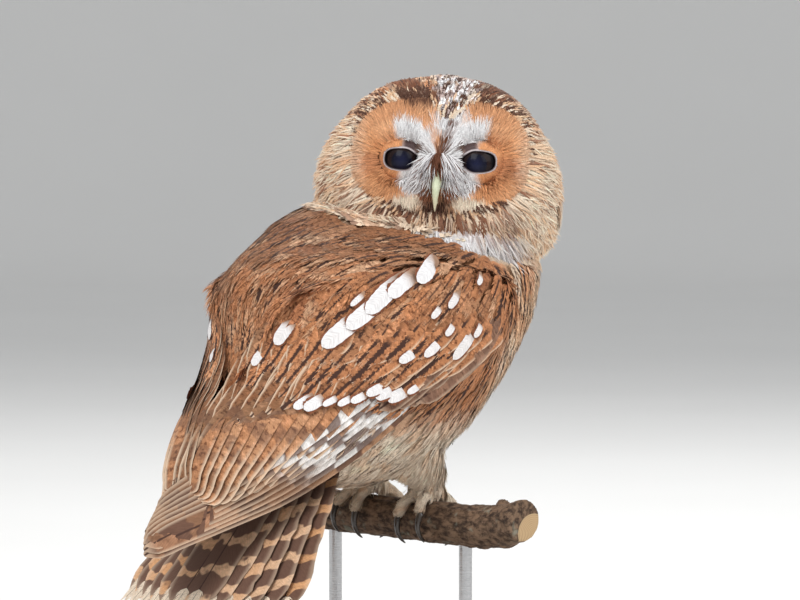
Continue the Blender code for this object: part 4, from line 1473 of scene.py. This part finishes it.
# ---------------------------------------------------------------------------------------------
# Head: small soft feathers over crown, nape and cheeks, mottled; loose fine barbs over the cheeks
# and the white chin; and a facial disc of hair-like barbs that radiate from each eye.
# ---------------------------------------------------------------------------------------------
def disc_reach(h):
    """How far out on the facial disc a place lies: 1 at its rim."""
    own, z = np.abs(h[:, 0]), h[:, 2] - 6
    tall = np.where(z > 0, 31.0 - 11 * around(h[:, 0], 4, 3, 11), 29.5)
    return ((own / 47) ** 2.6 + (np.abs(z) / tall) ** 2.6) ** (1 / 2.6)


def in_front(h):
    return h[:, 1] < -12


def on_crown(points, normals):
    h = to_head(points)
    own, y, z = np.abs(h[:, 0]), h[:, 1], h[:, 2]
    face = in_front(h) & ((disc_reach(h) < 0.94) | ((own < 9) & (z < -10) & (z > -29)))
    return on_head(points) & ~face & ~((z < -31) & (own < 38) & (y < -25))


crown = Coat("feathers_crown", "plumage_buff", patch=0.005)
roots, out = form.scatter(2.5, on_crown, 501)
count = len(roots)
h = to_head(roots)
rng = np.random.default_rng(502)
lower = smooth(h[:, 2], 14, -16)
length = rng.uniform(8.0, 10.5, count) + 8 * lower
tip_height = rng.uniform(0.1, 0.7, count) + lower * rng.random(count)
line, outs = lay(roots, out, head_way, length, 6, 1.0, tip_height, 0.9)
brows = dark_brows(to_head(line[:, 3])) * smooth(h[:, 1], 2, -10)
tone = varied(crown_marks(to_head(line[:, 3])), 0.12, 503)
dark = rng.random(count) < 0.36 - 0.22 * lower
tone[dark] = tinted(tone[dark], np.full(dark.sum(), 0.6), RUFOUS_DARK)
crown.plumes(
    line, outs, rng.uniform(2.6, 3.4, count) + 1.2 * lower, tone, barbs=7, spread_from=48,
    spread_to=16, ragged=0.32, cup=0.08, loose=0.22, fat=1.7,
    mottled=(0.95 - 0.6 * lower) * (1 - 0.7 * brows),
    streak=rng.uniform(0.1, 0.8, count) * (1 - 0.75 * lower), fringe=0.3 * (1 - brows), seed=504,
)
crown.sew()

fluff = Coat("feathers_cheeks", "plumage_buff")


def on_cheek(points, normals):
    h = to_head(points)
    outside = ~in_front(h) | (disc_reach(h) > 0.97)
    crease = (h[:, 1] < -51) | ((h[:, 2] < -40) & (h[:, 1] < -20))
    crease = crease | ((normals[:, 2] > 0.1) & (h[:, 2] < -26) & in_front(h))
    return on_head(points) & outside & ~crease & (h[:, 1] < 30) & (h[:, 2] < 36) & (h[:, 2] > -46)


roots, out = form.scatter(1.0, on_cheek, 506, crowd=2.6)
h = to_head(roots)
rng = np.random.default_rng(507)
full = smooth(h[:, 2], 34, 8) * smooth(h[:, 1], 30, 0)
chin = smooth(h[:, 2], -27, -32) * smooth(np.abs(h[:, 0] - 5), 42, 26) * smooth(h[:, 1], -10, -24)
keep = rng.random(len(roots)) < (0.15 + full) * (0.42 + 0.58 * chin)
roots, out, h, full, chin = (held[keep] for held in (roots, out, h, full, chin))
tone = all_over(CREAM * 1.03, len(roots))
strand = ripple(h * np.array([1.0, 0.45, 1.0]), 2.2, 28)
dark = ripple(h * np.array([1.0, 0.4, 1.0]), 1.7, 29)
band = ripple(h * np.array([1.0, 0.4, 0.6]), 1.7, 30)
tone = tinted(tone, smooth(strand, -0.2, 0.4) * 0.85, BUFF * 1.08)
tone = tinted(tone, smooth(ripple(h, 5, 18), 0.0, 0.6) * 0.5 * smooth(h[:, 2], -20, 0), ORANGE)
tone = tinted(tone, smooth(dark, 0.32, 0.7) * 0.9, RUFOUS_DARK)
under = smooth(h[:, 2], -15, -20) * smooth(np.abs(h[:, 0] - 3), 42, 30) * smooth(h[:, 1], -20, -30)
tone = tinted(tone, under * smooth(band, -0.35, 0.25) * 0.9, RUFOUS_DARK * 0.8)
# The chin's strands are white; a fifth are grey, partly its own grey and partly painted shade in the fluff.
chin_white_and_grey_shade = np.where(rng.random((len(roots), 1)) < 0.22, GREY * 1.2, WHITE * 0.97)
tone = tone + (chin_white_and_grey_shade - tone) * chin[:, None]
way = head_way(roots)
falling = turn_from_head(unit(triple(0.010 * h[:, 0], -0.5, -1.0)))
way = way + (falling - way) * chin[:, None]
fluff.hairs(
    roots - out * 0.6, out, way, rng.uniform(6, 9, len(roots)) + 5 * full + 4.5 * chin, 0.95 - 0.2 * chin,
    varied(tone, 0.1, 508), lift=0.14 + 0.16 * full + 0.42 * chin, droop=0.16, curl=0.14, seed=509,
)
fluff.sew()


def face_way(h):
    """The way the barbs of the face lie, in the head's frame."""
    x, _, z = h.T
    eye = LID_PLACES[(x > 0).astype(int)]
    from_eye = unit(np.stack([x - eye[:, 0], z - eye[:, 1]], 1))
    from_bill = unit(np.stack([x, z - 4.0], 1) + 1e-3)
    centre = (around(np.abs(x), 0, 8, 8) * smooth(z, -26, -14))[:, None]
    flat = from_eye + (from_bill - from_eye) * centre
    falling = np.stack([0.25 * np.sign(x), -1 + 0 * x], 1)
    flat = flat + (falling - flat) * (smooth(z, -14, -24) * 0.7)[:, None]
    flat = unit(flat)
    return np.stack([flat[:, 0], 0 * x, flat[:, 1]], 1)


def on_disc(points, normals):
    h = to_head(points)
    eye = LID_PLACES[(h[:, 0] > 0).astype(int)]
    clear = np.hypot((h[:, 0] - eye[:, 0]) / 12.6, (h[:, 2] - eye[:, 1]) / 9.0) > 1
    below_bill = (np.abs(h[:, 0]) < 10) & (h[:, 2] < -18) & (h[:, 2] > -30)
    return on_head(points) & in_front(h) & ((disc_reach(h) < 0.95) | below_bill) & clear


disc = Coat("feathers_disc", "plumage_face")
roots, out = form.scatter(1.0, on_disc, 511, crowd=3.4)
h = to_head(roots)
eye = LID_PLACES[(h[:, 0] > 0).astype(int)]
from_eye = np.hypot(h[:, 0] - eye[:, 0], h[:, 2] - eye[:, 1])
way = face_way(h)
length = 5.5 + 4.5 * smooth(from_eye, 9, 24)
here, there = disc_reach(h), disc_reach(h + way * length[:, None])
room = np.where(there > 1.01, (1.01 - here) / np.maximum(there - here, 0.02), 1.0)
length = length * np.clip(room, 0.4, 1.0)
tone = varied(face_marks(h + way * length[:, None] * 0.75), 0.13, 512)
way = turn_from_head(way)
disc.hairs(roots - out * 1.6, out, way, length, 0.62, tone, lift=0.38, droop=0.24, curl=0.05, seed=513)
disc.sew()

# ---------------------------------------------------------------------------------------------
# Face trimmings: short down on the lids' outer skirt, grey and white bristles beside the bill,
# longer hairs over its root, and the stiff spotted rim of the disc.
# ---------------------------------------------------------------------------------------------
face = Coat("feathers_face", "plumage_face")
rng = np.random.default_rng(521)
for side in (-1, 1):
    count = 5200
    turn, far = rng.uniform(0, 2 * math.pi, count), 1.0 + 7.4 * rng.random(count) ** 1.25
    bald = smooth(np.sin(turn), 0.1, 0.6) * smooth(-np.cos(turn), -0.3, 0.3)
    keep = far > 1.05 + 2.1 * bald
    turn, far = turn[keep], far[keep]
    at = lid_place(side, turn, far, 1.25 - 0.03 * far)
    normal = unit(at - EYE_PLACES[(side + 1) // 2])
    way = lid_place(side, turn, far + 0.5, 0.5) - lid_place(side, turn, far, 0.5)
    tone = varied(face_marks(at + unit(way) * 2.0), 0.12, 522 + side)
    face.hairs(
        from_head(at), turn_from_head(normal), turn_from_head(unit(way)), 2.6 + 0.6 * far, 0.5, tone,
        lift=0.34, droop=0.24, seed=524 + side,
    )


def on_bristles(points, normals):
    h = to_head(points)
    own = np.abs(h[:, 0])
    return on_head(points) & in_front(h) & (own < 14) & (own > 2.0) & (h[:, 2] < 4) & (h[:, 2] > -10)


roots, out = form.scatter(1.0, on_bristles, 531, crowd=1.6)
h = to_head(roots)
way = unit(triple(0.55 * np.sign(h[:, 0]) + 0.02 * h[:, 0], -0.15, -1.0))
shade = rng.random(len(roots))
tone = np.where(shade[:, None] < 0.08, UMBER * 1.6, np.where(shade[:, None] < 0.30, GREY, WHITE))
face.hairs(roots - out, out, turn_from_head(way), 7.5, 0.42, tone, lift=0.40, droop=0.25, curl=0.12, seed=532)


def on_bill_root(points, normals):
    h = to_head(points)
    return on_head(points) & in_front(h) & (np.abs(h[:, 0]) < 5.5) & (h[:, 2] < 8) & (h[:, 2] > -3)


roots, out = form.scatter(1.0, on_bill_root, 533, crowd=5.0)
h = to_head(roots)
way = unit(triple(0.10 * h[:, 0], 0.0, -1.0))
brown = (np.abs(h[:, 0] + 0.6) < 1.5) | (rng.random(len(roots)) < 0.15)
tone = np.where(rng.random((len(roots), 1)) < 0.3, GREY, WHITE * 0.9)
tone = np.where(brown[:, None], RUFOUS_DARK * 0.5, tone)
face.hairs(roots - out, out, turn_from_head(way), 12.0, 0.5, tone, lift=0.85, droop=0.22, curl=0.10, seed=534)


def on_rim(points, normals):
    h = to_head(points)
    reach = disc_reach(h)
    high = (h[:, 2] > 6) & (reach > 0.95) & (reach < 1.06)
    low = (h[:, 2] < -15) & (reach > 0.88) & (reach < 1.04)
    return on_head(points) & in_front(h) & (high | low)


def rim_way(points):
    """The way the rim's feathers lie: straight out from the middle of the disc."""
    x, _, z = to_head(points).T
    return turn_from_head(unit(triple(x, 0.0, z - 4)))


roots, out = form.scatter(1.5, on_rim, 541)
h = to_head(roots)
count = len(roots)
line, outs = lay(roots, out, rim_way, 4.6, 4, 0.6, rng.uniform(0.4, 1.3, count))
shade = rng.random(count)
own, z = np.abs(h[:, 0]), h[:, 2]
darkness = np.where(z < 0, 0.64, 0.30) + 0.35 * spot(own, z, 38, 26, 7, 7)
darkness = darkness + 0.4 * spot(own, z, 35, -23, 5, 6) + 0.9 * dark_brows(h)
tone = np.where((shade < darkness)[:, None], UMBER * 1.3, np.where((shade < 0.75)[:, None], CREAM, BUFF))
face.plumes(
    line, outs, rng.uniform(0.7, 1.15, count), tone, barbs=5, spread_from=40, spread_to=14,
    ragged=0.3, cup=0.1, mottled=0.2, streak=0.1, fringe=0.2, seed=542,
)
face.sew()


# ---------------------------------------------------------------------------------------------
# The room: a plain pale floor that sweeps up behind, broad soft lamps, and a long lens placed
# level with the owl, behind its right side.
# ---------------------------------------------------------------------------------------------
ANGLE = math.radians(3)
LOOK = Vector((0.788 * math.cos(ANGLE), -0.616 * math.cos(ANGLE), -math.sin(ANGLE)))
ASIDE = Vector((-0.616, -0.788, 0.0))
DISTANCE = 2.924
FLAT_REACH, CURVE = 4.8, 0.6  # the floor is flat this far out, then curves up
bpy.ops.mesh.primitive_plane_add(size=14.0)
floor = bpy.context.object
floor.name = floor.data.name = "floor"
bpy.ops.object.mode_set(mode="EDIT")
bpy.ops.mesh.subdivide(number_cuts=60)
bpy.ops.object.mode_set(mode="OBJECT")
points = shape_of(floor)
away = np.maximum(np.hypot(points[:, 0], points[:, 1]) - FLAT_REACH, 0)
points[:, 2] = CURVE * away**2
reshape(floor, points)
floor.data.shade_smooth()
paper, p, shader = finish_of("pale_paper", Roughness=0.95, Specular_IOR_Level=0.1)
here = p.here()
p.give(
    shader,
    Base_Color=p.blend(p.noise(here, 3.0), (0.80, 0.795, 0.78), (0.84, 0.835, 0.82)),
)
wear(floor, paper)

world = bpy.data.worlds.new("soft_room")
bpy.context.scene.world = world
world.use_nodes = True
world.node_tree.nodes["Background"].inputs["Color"].default_value = (0.95, 0.97, 1.0, 1.0)
world.node_tree.nodes["Background"].inputs["Strength"].default_value = 0.55
target = Vector((0.0, -0.01, 0.24))
LAMPS = (  # to the camera's right, towards it, up, size, watts
    (-1.1, 1.5, 1.9, 1.6, 46.0), (1.6, 1.1, 1.2, 1.8, 24.0), (0.3, -1.4, 1.6, 1.4, 20.0),
)
for number, (to_right, nearer, up, size, watts) in enumerate(LAMPS):
    lamp = bpy.data.lights.new("lamp_%d" % number, "AREA")
    lamp.energy, lamp.size = watts, size
    lit = bpy.data.objects.new(lamp.name, lamp)
    lit.location = target + ASIDE * to_right - LOOK * nearer + Vector((0, 0, up))
    lit.rotation_euler = (target - lit.location).to_track_quat("-Z", "Y").to_euler()
    bpy.context.scene.collection.objects.link(lit)
bpy.context.scene.view_settings.view_transform = "Standard"

lens = bpy.data.cameras.new("camera")
lens.lens, lens.sensor_width = 250.0, 36.0
lens.clip_start, lens.clip_end = 0.1, 60.0
camera = bpy.data.objects.new("camera", lens)
bpy.context.scene.collection.objects.link(camera)
camera.location = ASIDE * 0.0223 + Vector((0, 0, 0.230)) - LOOK * DISTANCE
camera.rotation_euler = LOOK.to_track_quat("-Z", "Y").to_euler()
bpy.context.scene.camera = camera
